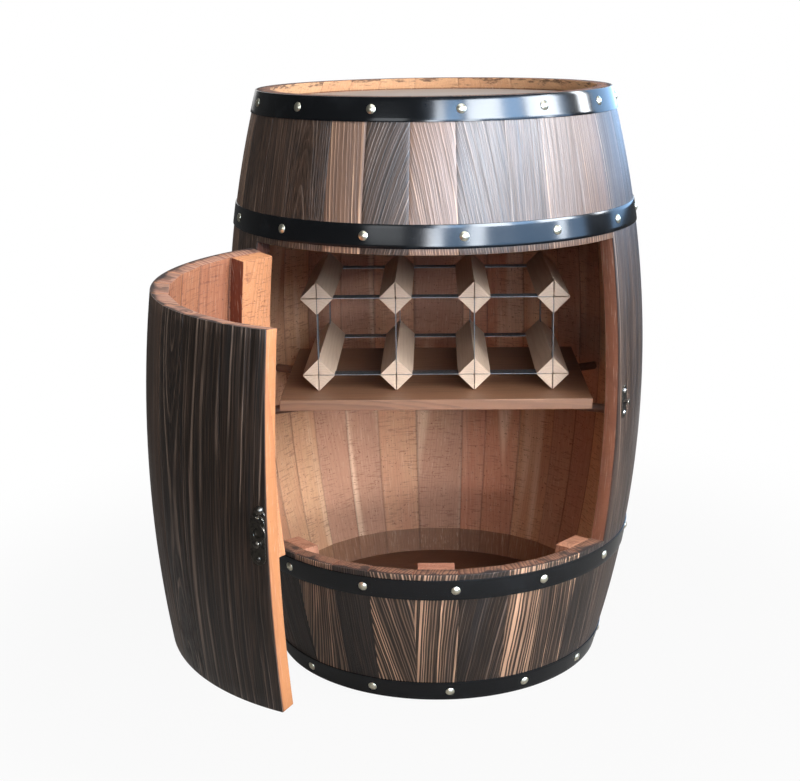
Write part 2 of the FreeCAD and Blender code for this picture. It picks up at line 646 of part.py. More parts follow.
def build():
    nodes = {}
    opening = 2 * OPENING_HALF_ANGLE
    front_edges = bearings_from(-OPENING_HALF_ANGLE, spread(OPENING_STAVE_WIDTHS, opening))
    round_the_back = RIGHT_STAVE_WIDTHS + BACK_STAVE_WIDTHS + LEFT_STAVE_WIDTHS
    wall_edges = bearings_from(OPENING_HALF_ANGLE, spread(round_the_back, 360 - opening))

    # fasteners and leaves that are let into the wood
    wall_cutters = []
    for name, (z0, phase) in HOOPS.items():
        nails = hoop_nails(z0, phase)
        rivets = hoop_rivets(z0, phase)
        nodes[name + "_hoop"] = [solid(cut_all(hoop(z0, phase), nails + rivets))]
        nodes[name + "_nails"] = nails
        nodes.setdefault("hoop_rivets", []).extend(rivets)
        wall_cutters += nails
    pins = shelf_pins()
    catch_plate, catch_stud, catch_screws = placed_on_wall(catch_parts(), CATCH_BEARING)
    wall_cutters += pins + [catch_plate, catch_stud] + catch_screws
    plate, rivet, latch_screws, hook = placed_on_wall(latch_parts(), LATCH_BEARING)
    door_cutters = [plate, rivet] + latch_screws
    door_fittings = {"latch_plate": [plate], "latch_rivet": [rivet], "latch_screws": latch_screws,
                     "latch_hook": [hook], "hinge_door_screws": []}
    nodes["hinge_frame_screws"] = []
    for name, z in HINGE_Z.items():
        frame_leaf, door_leaf, pin, frame_screws, door_screws = leaned(list(hinge_parts(z)))
        nodes["hinge_frame_leaf_" + name] = [frame_leaf]
        nodes["hinge_pin_" + name] = [pin]
        nodes["hinge_frame_screws"] += frame_screws
        door_fittings["hinge_door_leaf_" + name] = [door_leaf]
        door_fittings["hinge_door_screws"] += door_screws
        wall_cutters += [frame_leaf] + frame_screws
        door_cutters += [door_leaf] + door_screws

    # full-length staves, counted from the right of the opening round the back to its left
    for n in range(len(wall_edges) - 1):
        blank = stave(wall_edges[n], wall_edges[n + 1], 0.0, HEIGHT)
        nodes["stave_%02d" % (n + 1)] = [solid(cut_all(blank, wall_cutters))]

    # short staves above and below the door, the battens behind the lower ones, and the door's own
    upper, lower, battens, door = [], [], [], []
    door_top = door_top_cutter()
    door_edges = list(front_edges)
    door_edges[0] += DOOR_GAP_ANGLE
    door_edges[-1] -= DOOR_GAP_ANGLE
    for n in range(len(front_edges) - 1):
        b0, b1 = front_edges[n], front_edges[n + 1]
        upper.append(solid(cut_all(stave(b0, b1, LINTEL_Z, HEIGHT), wall_cutters)))
        lower.append(solid(cut_all(stave(b0, b1, 0.0, SILL_Z), wall_cutters)))
        blank = stave(door_edges[n], door_edges[n + 1], SILL_Z + DOOR_GAP_Z, LINTEL_Z - DOOR_GAP_Z)
        door.append(solid(cut_all(blank.cut(door_top), door_cutters)))
    for n in BATTEN_STAVES:
        battens.append(batten(front_edges[n] + 0.5, front_edges[n + 1] - 0.5,
                              HEAD_RECESS + HEAD_THICKNESS, SILL_Z))
    nodes["upper_front_staves"] = upper
    nodes["lower_front_staves"] = lower
    nodes["lower_front_battens"] = battens
    door_fittings["door_staves"] = door
    hinge_batten = batten(door_edges[0] + 0.6, door_edges[1] - 0.6,
                          SILL_Z + 2 * DOOR_GAP_Z, LINTEL_Z - DOOR_GAP_Z)
    door_fittings["door_hinge_batten"] = [solid(hinge_batten.cut(door_top))]

    nodes["top_head_boards"] = head_boards(HEIGHT, -1)
    nodes["bottom_head_boards"] = head_boards(0.0, 1)
    nodes["shelf"] = [shelf()]
    nodes["shelf_pins"] = pins
    nodes["rack_posts_lower"] = [rack_post(x, RACK_ROWS[0]) for x in COLUMN_X]
    nodes["rack_posts_upper"] = [rack_post(x, RACK_ROWS[1]) for x in COLUMN_X]
    nodes["rack_level_strips"] = level_strips()
    nodes["rack_upright_strips"] = upright_strips()
    nodes["catch_plate"] = [catch_plate]
    nodes["catch_stud"] = [catch_stud]
    nodes["catch_screws"] = catch_screws

    # the door and all it carries swing open about the hinges' pin line
    for name, solids in door_fittings.items():
        nodes[name] = [turned(one, -DOOR_OPEN_ANGLE, HINGE_CENTRE, HINGE_AXIS) for one in solids]
    return nodes


def batten(bearing0, bearing1, z0, z1):
    """Board glued to the flat inner face of a stave, as long as the stave allows."""
    middle = (bearing0 + bearing1) / 2
    zm = (z0 + z1) / 2
    inner_radius = surface_radius(zm, -STAVE_THICKNESS)
    half_width = inner_radius * math.tan(math.radians(bearing1 - bearing0) / 2)
    section = shell_face(-STAVE_THICKNESS - BATTEN_THICKNESS, -STAVE_THICKNESS, z0, z1)
    section = turned(section, middle - 90)
    section.translate(along(middle) * -half_width)
    return solid(section.extrude(along(middle) * (2 * half_width)))


def main():
    os.makedirs("parts", exist_ok=True)
    nodes = build()
    for name, solids in sorted(nodes.items()):
        shape = solids[0] if len(solids) == 1 else Part.makeCompound(solids)
        shape.exportStep("parts/%s.step" % name)
        volume = sum(one.Volume for one in solids)
        print("%-24s %2d solids %10.1f mm3 %s" % (name, len(solids), volume, shape.isValid()))
    print(len(nodes), "nodes")
    print("hinge line", HINGE_LINE, "hinge bearing", HINGE_BEARING, "latch bearing", LATCH_BEARING)


main()
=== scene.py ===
"""Looks of the barrel bar cabinet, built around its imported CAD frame. Lengths are in metres.

A bearing is an angle about the barrel's axis, in degrees: 0 in front (-Y), 90 at +X, 180 behind.
"""
import math
import random

import bmesh
import bpy
from mathutils import Matrix, Vector, noise


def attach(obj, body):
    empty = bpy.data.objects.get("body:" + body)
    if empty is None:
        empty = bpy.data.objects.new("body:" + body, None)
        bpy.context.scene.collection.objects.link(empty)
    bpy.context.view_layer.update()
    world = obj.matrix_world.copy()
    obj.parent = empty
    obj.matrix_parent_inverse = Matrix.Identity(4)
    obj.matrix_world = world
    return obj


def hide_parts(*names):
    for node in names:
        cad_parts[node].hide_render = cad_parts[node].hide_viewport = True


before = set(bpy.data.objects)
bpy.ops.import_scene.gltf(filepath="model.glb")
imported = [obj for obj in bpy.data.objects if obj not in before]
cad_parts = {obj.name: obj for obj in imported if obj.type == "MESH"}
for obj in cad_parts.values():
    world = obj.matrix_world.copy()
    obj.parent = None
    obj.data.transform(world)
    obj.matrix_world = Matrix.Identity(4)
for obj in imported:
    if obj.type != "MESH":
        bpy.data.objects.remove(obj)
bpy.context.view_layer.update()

# --- the barrel, as the CAD builds it
HEIGHT = 0.800
BELLY_RADIUS = 0.293
BELLY_Z = 0.412
HALF_LENGTH = 0.400
BULGE = 0.056
STAVE_THICKNESS = 0.022
ARC_RADIUS = (HALF_LENGTH ** 2 + BULGE ** 2) / (2 * BULGE)
ARC_CENTRE = BELLY_RADIUS - ARC_RADIUS

OPENING_HALF_ANGLE = 55.4
OPENING_STAVE_WIDTHS = [11.9, 13.5, 11.0, 12.5, 12.5, 14.0, 10.5, 13.0, 11.9]
WALL_STAVE_WIDTHS = [12.6, 12.5, 11.5, 11.5, 11.0, 10.5,
                     10.0, 14.0, 13.0, 8.4, 16.6, 14.0, 12.2, 13.3, 11.5,
                     12.0, 13.0, 14.0, 13.6, 14.0]
SILL_Z = 0.198
LINTEL_Z = 0.614
DOOR_GAP_Z = 0.0025
DOOR_GAP_ANGLE = 0.4
DOOR_TOP_BEVEL = 0.003

HOWEL_LENGTH = 0.070
HOWEL_DEPTH = 0.004
HOWEL_STEP = 0.003
HEAD_RECESS = 0.016
HEAD_THICKNESS = 0.018

# --- hoops: lower edge and the bearing of the first nail
HOOP_WIDTH = 0.029
HOOP_THICKNESS = 0.0015
HOOP_LAP = 0.044
HOOPS = {
    "top_chime": (HEIGHT - HOOP_WIDTH, 7.8),
    "upper_quarter": (0.622, 7.5),
    "lower_quarter": (0.1615, 5.1),
    "bottom_chime": (0.0, 4.0),
}
NAIL_COUNT = 14
NAIL_RADIUS = 0.006
NAIL_HEIGHT = 0.003
RIVET_RADIUS = 0.0045
RIVET_HEIGHT = 0.0016
# how far the band stands off the wood, and how far the lap's outer end sinks into the band under it
HOOP_SEAT = 0.00002
LAP_SINK = 0.0002
# the band's unevenness: its two sizes, and the waves a metre round and up of the greater one
RIPPLE = 0.00016
FINE_RIPPLE = 0.00005
RIPPLE_WAVES = (4.0, 14.0)
FINE_RIPPLE_SCALE = 3.3
RIPPLE_FROM = 0.0004
# the rolled rim of a nail's head: (share of its radius, height)
DOME_RIM = [(0.965, -0.0003), (1.0, 0.0002), (0.985, 0.0006)]
DOME_SHARE = 0.96

# --- the door's hinge line and its lean, and how far the door stands open at rest
HINGE_PIN_LINE_RADIUS = 0.299
HINGE_LEAN = 0.57
DOOR_OPEN_ANGLE = 81.2

# --- mesh fineness
STATION_STEP = 0.018
FINE_STEP = 0.0035
FINE_REACH = 0.015
ARC_STEP = 0.006
MIN_ARC_STEPS = 6
OUTER_ROUND = 0.0002
INNER_ROUND = 0.0005
END_ROUND = 0.0007
HOOP_ROUND = 0.00025
ROUND_MIDDLE = 0.3
JOINT_GAP = 0.00003
STEP_HALF = 0.0001
HOOP_STEPS = 240
LAP_STEPS = 10
BAND_ROWS = 6
DOME_SIDES = 28
DOME_ROWS = 7
WELD_DISTANCE = 2e-6
# angles in degrees: of a flat face, an arris to round, and a break in the shading
FLAT_WITHIN = 0.5
SHARP_ARRIS = 30.0
SHADE_BREAK = 40.0
DOME_SHADE_BREAK = 60.0
FACING_SHARE = 0.8

# --- how staves differ: level of the outside, thickness, and tilt of the inner face in degrees
LEVEL_PLAY = 0.00005
THICKNESS_PLAY = 0.0008
TILT_PLAY = 0.5

# --- each board is taken from another length of the log; TONE_SPAN tells those lengths apart
STAVE_LOG_STEP = 7.31
DRESSED_LOG_STEP = 3.7
TONE_SPAN = 3.65
# --- what a point without char or a sawn end near it says of them
BURIED = 0.01
UNSAWN = 1.0


def surface_radius(z, offset=0.0):
    """Radius at height z of the barrel's outer surface, moved outwards by offset."""
    return ARC_CENTRE + math.sqrt((ARC_RADIUS + offset) ** 2 - (z - BELLY_Z) ** 2)


def outward(bearing):
    angle = math.radians(bearing)
    return Vector((math.sin(angle), -math.cos(angle), 0))


def wall_normal(bearing, z):
    slope = math.asin((z - BELLY_Z) / ARC_RADIUS)
    return outward(bearing) * math.cos(slope) + Vector((0, 0, math.sin(slope)))


def wall_point(bearing, z, proud=0.0):
    return outward(bearing) * surface_radius(z) + Vector((0, 0, z)) + wall_normal(bearing, z) * proud


def turned_inner_radius(z):
    """Radius that the howel and chime are turned to near a stave's ends, or 0 between them."""
    depth = min(z, HEIGHT - z)
    if depth >= HOWEL_LENGTH:
        return 0.0

    def inner(d):
        return surface_radius(d if z < HEIGHT / 2 else HEIGHT - d, -STAVE_THICKNESS)

    head_far = HEAD_RECESS + HEAD_THICKNESS
    howel = inner(head_far) + HOWEL_DEPTH
    if depth >= head_far:
        share = (depth - head_far) / (HOWEL_LENGTH - head_far)
        return howel + (inner(HOWEL_LENGTH) + HOWEL_STEP - howel) * share
    chime = inner(0) + HOWEL_DEPTH
    return chime + (howel - chime) * min(1, depth / HEAD_RECESS)


HINGE_OUT = outward(-OPENING_HALF_ANGLE + DOOR_GAP_ANGLE / 2)
HINGE_POINT = HINGE_OUT * HINGE_PIN_LINE_RADIUS + Vector((0, 0, (SILL_Z + LINTEL_Z) / 2))
HINGE_AXIS = (Vector((0, 0, math.cos(math.radians(HINGE_LEAN))))
              + HINGE_OUT * math.sin(math.radians(HINGE_LEAN)))
DOOR_TURN = (Matrix.Translation(HINGE_POINT)
             @ Matrix.Rotation(math.radians(-DOOR_OPEN_ANGLE), 4, HINGE_AXIS)
             @ Matrix.Translation(-HINGE_POINT))


# --- meshes that carry wood coordinates

class Timber:
    """Collects boards into one mesh. Each point carries three vectors:
    grain (across from the pith, along, depth from the pith), look (tone, streaks, ring spacing) and
    place (-1 to 1 across the board, depth under the outer surface, distance from a sawn end)."""

    def __init__(self):
        self.points, self.faces, self.finishes = [], [], []
        self.grain, self.look, self.place = [], [], []

    def add_point(self, point, grain, look, place):
        self.points.append(point)
        self.grain.append(grain)
        self.look.append(look)
        self.place.append(place)
        return len(self.points) - 1

    def add_face(self, corners, finish):
        self.faces.append(corners)
        self.finishes.append(finish)

    def make(self, body, node, materials):
        name = node + "_wood"
        mesh = bpy.data.meshes.new(name)
        mesh.from_pydata(self.points, [], self.faces)
        mesh.polygons.foreach_set("material_index", self.finishes)
        write_vectors(mesh, "grain", self.grain)
        write_vectors(mesh, "look", self.look)
        write_vectors(mesh, "place", self.place)
        return finish_piece(mesh, name, body, node, materials)


def write_vectors(mesh, name, vectors):
    attribute = mesh.attributes.new(name, "FLOAT_VECTOR", "POINT")
    attribute.data.foreach_set("vector", [value for vector in vectors for value in vector])


def finish_piece(mesh, name, body, node, materials, sharp=SHADE_BREAK):
    """Turns a mesh into a piece that rides on a body and stands for a CAD node."""
    mesh.validate()
    mesh.polygons.foreach_set("use_smooth", [True] * len(mesh.polygons))
    mesh.set_sharp_from_angle(angle=math.radians(sharp))
    for material in materials:
        mesh.materials.append(material)
    piece = bpy.data.objects.new(name, mesh)
    bpy.context.scene.collection.objects.link(piece)
    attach(piece, body)
    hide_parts(node)
    return piece


# --- what each board looks like

def board(tone, streaks, spacing=4.5, lean=0.0, pith=15.0, slope=0.0, shift=120.0, fan=0.0, bow=0.0):
    """tone 0 black to 1 tan; streaks 0 to 1 bolder lines, to 2 broader ones; ring spacing, pith depth
    and shift in mm; lean and slope in mm per mm; fan is how much the lean grows, over a metre across,
    and bow how much the pith's depth grows over a metre squared away from the middle."""
    return {"tone": tone, "streaks": streaks, "spacing": spacing / 1000, "lean": lean,
            "pith": pith / 1000, "slope": slope, "shift": shift / 1000, "fan": fan, "bow": bow}


# the boards over the doorway are lighter than the door and the boards under it: partly their own colour,
# partly painted sheen
UPPER_BOARDS = [
    board(0.17, 0.30, 4.0, 0.03),
    board(0.14, 0.80, 3.3, 0.02, 13, 0.09, -10),
    board(0.62, 1.10, 5.4, 0.02),
    board(0.13, 0.62, 4.6, -0.33, fan=-2.0),
    board(0.66, 0.90, 4.0, 0.22, fan=-1.5),
    board(0.20, 0.70, 4.2, 0.18, fan=-1.0),
    board(0.22, 0.60, 3.8, 0.01),
    board(0.38, 0.80, 4.4, -0.02),
    board(0.42, 0.60, 4.2, 0.02),
]
LOWER_BOARDS = [
    board(0.03, 0.30, 4.6, 0.05),
    board(0.07, 1.40, 4.0, -0.20, 15, 0.0, 120, 4.0),
    board(0.00, 0.15, 3.4, 0.03),
    board(0.03, 1.30, 4.4, 0.20, fan=-1.5),
    board(0.06, 1.40, 4.4, -0.10, fan=-1.0),
    board(0.00, 0.40, 4.8, -0.18, fan=-1.0),
    board(0.12, 1.55, 5.2, -0.06),
    board(0.03, 1.18, 4.8, 0.01),
    board(0.00, 0.60, 5.0, 0.02),
]
DOOR_BOARDS = [
    board(0.06, 0.15, 7.0, 0.02),
    board(0.05, 0.12, 6.5, -0.02),
    board(0.06, 0.18, 7.0, 0.02),
    board(0.05, 0.35, 7.2, 0.01),
    board(0.07, 0.45, 7.0, 0.01),
    board(0.25, 0.90, 5.6, -0.01),
    board(0.06, 0.95, 5.5, -0.02, 20, 0.0, 2, bow=-0.55),
    board(0.05, 0.85, 8.5, -0.03),
    board(0.05, 0.95, 8.8, -0.03),
]
FIRST_WALL_BOARDS = [
    board(0.10, 0.85, 3.8, 0.01),
    board(0.06, 0.70, 3.6, 0.00),
]


def other_board(seed):
    """A stave out of the same pile: most are nearly black, some are brown with bold streaks."""
    dice = random.Random(seed)
    bold = dice.random() < 0.35
    return board(tone=dice.uniform(0.35, 0.55) if bold else dice.uniform(0.04, 0.2),
                 streaks=dice.uniform(1.0, 1.4) if bold else dice.uniform(0.35, 0.8),
                 spacing=dice.uniform(3.6, 6.0), lean=dice.uniform(-0.05, 0.05),
                 slope=dice.uniform(-0.1, 0.1),
                 shift=dice.choice([-120, -60, dice.uniform(-20, 20), 60, 120]))


# --- staves

CHAR, SIDE, RAW, TURNED, END, CHIME = range(6)


def rounding(size):
    """Three points round a small arris: (how far along one face, how far in from the other)."""
    return [(0.0, size), (ROUND_MIDDLE * size, ROUND_MIDDLE * size), (size, 0.0)]


def quarter_round(size):
    """Three points round an arris: (inset along one face, inset along the other)."""
    half = size * (1 - math.sqrt(0.5))
    return [(0.0, size), (half, half), (size, 0.0)]


def stations(z0, z1, bevel):
    """Heights of a stave's cross-sections, each with how far it draws in and how far its inner side
    drops."""
    levels = [(z0 + rise, draw, 0.0) for rise, draw in rounding(END_ROUND)]
    z = z0 + END_ROUND
    while z < z1 - END_ROUND:
        near_end = HEAD_RECESS < min(z, HEIGHT - z) < HOWEL_LENGTH + FINE_REACH
        z += FINE_STEP if near_end else STATION_STEP
        if z < z1 - 3 * END_ROUND - bevel:
            levels.append((z, 0.0, 0.0))
    steps = [edge + side * STEP_HALF
             for edge in (HOWEL_LENGTH, HEIGHT - HOWEL_LENGTH) for side in (-1, 1)]
    levels = sorted(levels + [(z, 0.0, 0.0) for z in steps if z0 + END_ROUND < z < z1 - END_ROUND])
    return levels + [(z1 - rise, draw, bevel) for rise, draw in rounding(END_ROUND)[::-1]]


def stave(timber, bearing0, bearing1, z0, z1, look, seed, sawn_low, sawn_high, turn=None, bevel=0.0):
    """One stave: round and charred outside, flat and raw inside, with rounded arrises, turned ends."""
    dice = random.Random(seed)
    middle = (bearing0 + bearing1) / 2
    half = math.radians((bearing1 - bearing0) / 2)
    proud = dice.uniform(-LEVEL_PLAY, 0.0)
    thinner = dice.uniform(0.0, THICKNESS_PLAY)
    tilt = math.radians(dice.uniform(-TILT_PLAY, TILT_PLAY))
    steps = max(MIN_ARC_STEPS, round(2 * surface_radius(BELLY_Z) * half / ARC_STEP))
    look_vector = (look["tone"], look["streaks"], look["spacing"])

    def add(z, radius, angle, drop):
        """A point at an angle in radians from the stave's middle; drop lowers its inner side."""
        z -= drop * (surface_radius(z) - radius) / STAVE_THICKNESS
        skin = surface_radius(z) - radius
        point = outward(middle + math.degrees(angle)) * radius + Vector((0, 0, z))
        u = angle * radius
        rise = z - (z0 + z1) / 2
        grain = (u - look["shift"] + (look["lean"] + look["fan"] * u) * rise, z + seed * STAVE_LOG_STEP,
                 skin + look["pith"] + look["slope"] * rise + look["bow"] * rise ** 2)
        cut = min(z - z0 if sawn_low else UNSAWN, z1 - z if sawn_high else UNSAWN)
        return timber.add_point(turn @ point if turn else point, grain, look_vector,
                                (angle / half, skin, cut))

    rings = []
    for z, inset, drop in stations(z0, z1, bevel):
        outer = surface_radius(z) + proud - inset
        flat = surface_radius(z, -STAVE_THICKNESS) + thinner
        cutter = turned_inner_radius(z)

        def inner(angle):
            return max(flat / math.cos(angle + tilt) * math.cos(tilt), cutter) + inset

        edge_out = half - (JOINT_GAP + inset) / outer
        edge_in = half - (JOINT_GAP + inset) / inner(half)
        rim = inner(edge_in)
        flat_out = edge_out - OUTER_ROUND / outer
        flat_in = edge_in - INNER_ROUND / rim
        corner_out, corner_in = quarter_round(OUTER_ROUND), quarter_round(INNER_ROUND)
        outside = [(outer - down, over / outer - edge_out) for over, down in corner_out]
        outside += [(outer, flat_out * (2 * k / steps - 1)) for k in range(1, steps)]
        outside += [(outer - down, edge_out - over / outer) for over, down in corner_out[::-1]]
        inside = [(inner(edge_in - over / rim) + down, edge_in - over / rim) for over, down in corner_in]
        inside += [(inner(a), a) for a in [flat_in * (1 - 2 * k / steps) for k in range(1, steps)]]
        inside += [(inner(over / rim - edge_in) + down, over / rim - edge_in)
                   for over, down in corner_in[::-1]]
        edge_middle = (edge_out + edge_in) / 2
        ring = outside + [((outer + rim) / 2, edge_middle)] + inside
        ring.append(((outer + inner(-edge_in)) / 2, -edge_middle))
        rings.append(([add(z, radius, angle, drop) for radius, angle in ring], z))

    for (low, low_z), (high, high_z) in zip(rings, rings[1:]):
        depth = min((low_z + high_z) / 2, HEIGHT - (low_z + high_z) / 2)
        inner_finish = CHIME if depth < HEAD_RECESS else TURNED if depth < HOWEL_LENGTH else RAW
        for k in range(len(ring)):
            if k < len(outside) - 1:
                finish = CHAR
            else:
                finish = inner_finish if len(outside) < k < len(ring) - 2 else SIDE
            k1 = (k + 1) % len(ring)
            timber.add_face((low[k], low[k1], high[k1], high[k]), finish)
    timber.add_face(tuple(reversed(rings[0][0])), END)
    timber.add_face(tuple(rings[-1][0]), END)


def edges_from(start, widths, total):
    scale = total / sum(widths)
    edges = [start]
    for width in widths:
        edges.append(edges[-1] + width * scale)
    return edges


# the first seed of each panel's staves; the wall's staves start at 1
UPPER_SEED, LOWER_SEED, DOOR_SEED = 60, 40, 80


def make_staves(finishes, door_finishes):
    """The 20 full-length staves, the panels over and under the doorway, and the door."""
    front = edges_from(-OPENING_HALF_ANGLE, OPENING_STAVE_WIDTHS, 2 * OPENING_HALF_ANGLE)
    wall = edges_from(OPENING_HALF_ANGLE, WALL_STAVE_WIDTHS, 360 - 2 * OPENING_HALF_ANGLE)
    for n in range(len(wall) - 1):
        look = FIRST_WALL_BOARDS[n] if n < len(FIRST_WALL_BOARDS) else other_board(n)
        timber = Timber()
        stave(timber, wall[n], wall[n + 1], 0.0, HEIGHT, look, n + 1, False, False)
        timber.make("cabinet", "stave_%02d" % (n + 1), finishes)

    panels = [("upper_front_staves", UPPER_BOARDS, UPPER_SEED, LINTEL_Z, HEIGHT, True, False),
              ("lower_front_staves", LOWER_BOARDS, LOWER_SEED, 0.0, SILL_Z, False, True)]
    for node, looks, seed, z0, z1, sawn_low, sawn_high in panels:
        timber = Timber()
        for n, look in enumerate(looks):
            stave(timber, front[n], front[n + 1], z0, z1, look, seed + n, sawn_low, sawn_high)
        timber.make("cabinet", node, finishes)

    front[0] += DOOR_GAP_ANGLE
    front[-1] -= DOOR_GAP_ANGLE
    timber = Timber()
    for n, look in enumerate(DOOR_BOARDS):
        stave(timber, front[n], front[n + 1], SILL_Z + DOOR_GAP_Z, LINTEL_Z - DOOR_GAP_Z, look,
              DOOR_SEED + n, True, True, DOOR_TURN, DOOR_TOP_BEVEL)
    timber.make("door", "door_staves", door_finishes)


# --- pieces dressed from their CAD solids: arrises rounded, wood coordinates added

def islands(bm):
    """The separate solids of a mesh, as lists of its points."""
    seen, groups = set(), []
    for start in bm.verts:
        if start in seen:
            continue
        seen.add(start)
        group, queue = [], [start]
        while queue:
            vert = queue.pop()
            group.append(vert)
            for edge in vert.link_edges:
                other = edge.other_vert(vert)
                if other not in seen:
                    seen.add(other)
                    queue.append(other)
        groups.append(group)
    return groups


def rounded_copy(node, width, segments, arris):
    """A CAD node's mesh with its sharp arrises rounded; arris is the material they take, -1 for none."""
    bm = bmesh.new()
    bm.from_mesh(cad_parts[node].data)
    bmesh.ops.remove_doubles(bm, verts=bm.verts, dist=WELD_DISTANCE)
    bmesh.ops.dissolve_limit(bm, angle_limit=math.radians(FLAT_WITHIN), verts=bm.verts, edges=bm.edges)
    sharp = [edge for edge in bm.edges
             if len(edge.link_faces) == 2 and edge.calc_face_angle(0) > math.radians(SHARP_ARRIS)]
    bmesh.ops.bevel(bm, geom=sharp, offset=width, offset_type="OFFSET", segments=segments,
                    profile=0.5, affect="EDGES", clamp_overlap=True, material=arris)
    return bm


def area_normal(vert):
    """A point's normal, led by the largest face round it, so that flat faces are shaded flat."""
    total = Vector((0, 0, 0))
    for face in vert.link_faces:
        total += face.normal * face.calc_area()
    return total.normalized()


def dressed(node, body, slot, materials, width, segments, grain=None, looks=None, facing=None):
    """A piece made from a CAD node. grain maps a point and its solid's middle to (across, along, depth).
    A second material goes on the rounded arrises, or on the sides that face along facing."""
    name = node + "_dressed"
    bm = rounded_copy(node, width, segments, 1 if len(materials) > 1 and facing is None else -1)
    if facing is not None:
        for face in bm.faces:
            face.material_index = 1 if face.normal.dot(facing) > FACING_SHARE else 0
    mesh = bpy.data.meshes.new(name)
    bm.verts.index_update()
    if grain:
        values = [None] * len(bm.verts)
        for n, group in enumerate(islands(bm)):
            low = Vector([min(vert.co[i] for vert in group) for i in range(3)])
            high = Vector([max(vert.co[i] for vert in group) for i in range(3)])
            look = looks(n)
            for vert in group:
                across, along, depth = grain(vert.co, (low + high) / 2)
                values[vert.index] = (
                    (across - look["shift"] + look["lean"] * along, along + DRESSED_LOG_STEP * n,
                     depth + look["pith"] + look["slope"] * along),
                    (look["tone"], look["streaks"], look["spacing"]),
                    (0.0, BURIED, UNSAWN))
    bm.to_mesh(mesh)
    normals = [area_normal(vert) for vert in bm.verts]
    bm.free()
    if grain:
        for column, attribute in enumerate(("grain", "look", "place")):
            write_vectors(mesh, attribute, [value[column] for value in values])
    finish_piece(mesh, name, body, node, materials)
    mesh.normals_split_custom_set_from_vertices(normals)


# --- hoops, nails and rivets

def hoop_section(z0, base, thickness):
    """Closed outline of a hoop's section: (height, how proud of the wall)."""
    z1 = z0 + HOOP_WIDTH
    top = base + thickness
    rounds = rounding(HOOP_ROUND)
    section = [(z0, base)] + [(z0 + up, top - down) for up, down in rounds]
    section += [(z0 + HOOP_WIDTH * k / BAND_ROWS, top) for k in range(1, BAND_ROWS)]
    return section + [(z1 - up, top - down) for up, down in rounds[::-1]] + [(z1, base)]


def ripple(bearing, z):
    """Small unevenness of a rolled band, which breaks up what it reflects."""
    angle = math.radians(bearing)
    round_waves, up_waves = RIPPLE_WAVES
    spot = Vector((math.sin(angle) * round_waves, math.cos(angle) * round_waves, z * up_waves))
    return RIPPLE * noise.noise(spot) + FINE_RIPPLE * noise.noise(spot * FINE_RIPPLE_SCALE)


def lap_bearing(phase):
    return phase + (NAIL_COUNT // 2 - 0.5) * 360.0 / NAIL_COUNT


def make_hoop(name, z0, phase, paint):
    """A band that follows the wall all round, with level edges, and its lapped end over it."""
    half_lap = math.degrees(HOOP_LAP / 2 / surface_radius(z0 + HOOP_WIDTH / 2))
    spans = [(0.0, 360.0, HOOP_SEAT, HOOP_THICKNESS, HOOP_STEPS),
             (lap_bearing(phase) - half_lap, lap_bearing(phase) + half_lap,
              HOOP_THICKNESS - LAP_SINK, HOOP_THICKNESS + LAP_SINK, LAP_STEPS)]
    points, faces = [], []
    for start, end, base, thickness, steps in spans:
        section = hoop_section(z0, base, thickness)
        closed = end - start >= 360
        first = len(points)
        rows = steps if closed else steps + 1
        for k in range(rows):
            bearing = start + (end - start) * k / steps
            for z, proud in section:
                lift = proud + (ripple(bearing, z) if proud > base + RIPPLE_FROM else 0.0)
                points.append(outward(bearing) * surface_radius(z, lift) + Vector((0, 0, z)))
        count = len(section)
        for k in range(steps):
            a, b = first + k * count, first + ((k + 1) % rows) * count
            for i in range(count):
                j = (i + 1) % count
                faces.append((a + i, b + i, b + j, a + j))
        if not closed:
            faces.append(tuple(range(first, first + count)))
            faces.append(tuple(reversed(range(first + steps * count, first + rows * count))))
    mesh = bpy.data.meshes.new(name + "_hoop_band")
    mesh.from_pydata(points, [], faces)
    finish_piece(mesh, name + "_hoop_band", "cabinet", name + "_hoop", [paint])


def dome(points, faces, base, normal, radius, height):
    """Low domed head with a rolled rim, standing on base along normal."""
    rotation = normal.to_track_quat("Z", "Y").to_matrix()
    sphere = (radius ** 2 + height ** 2) / (2 * height)
    reach = math.asin(min(1.0, radius / sphere))
    profile = [(radius * share, rise) for share, rise in DOME_RIM]
    for k in range(1, DOME_ROWS):
        angle = reach * (1 - k / DOME_ROWS) * DOME_SHARE
        profile.append((sphere * math.sin(angle), height - sphere * (1 - math.cos(angle))))
    first = len(points)
    for r, h in profile:
        for side in range(DOME_SIDES):
            a = 2 * math.pi * side / DOME_SIDES
            points.append(base + rotation @ Vector((r * math.cos(a), r * math.sin(a), h)))
    points.append(base + rotation @ Vector((0, 0, height)))
    last = first + (len(profile) - 1) * DOME_SIDES
    for side in range(DOME_SIDES):
        after = (side + 1) % DOME_SIDES
        for a in range(first, last, DOME_SIDES):
            b = a + DOME_SIDES
            faces.append((a + side, a + after, b + after, b + side))
        faces.append((last + side, last + after, len(points) - 1))
    faces.append(tuple(reversed(range(first, first + DOME_SIDES))))


def make_heads(name, node, spots, radius, height, material):
    points, faces = [], []
    for bearing, z, proud in spots:
        dome(points, faces, wall_point(bearing, z, proud), wall_normal(bearing, z), radius, height)
    mesh = bpy.data.meshes.new(name)
    mesh.from_pydata(points, [], faces)
    finish_piece(mesh, name, "cabinet", node, [material], DOME_SHADE_BREAK)


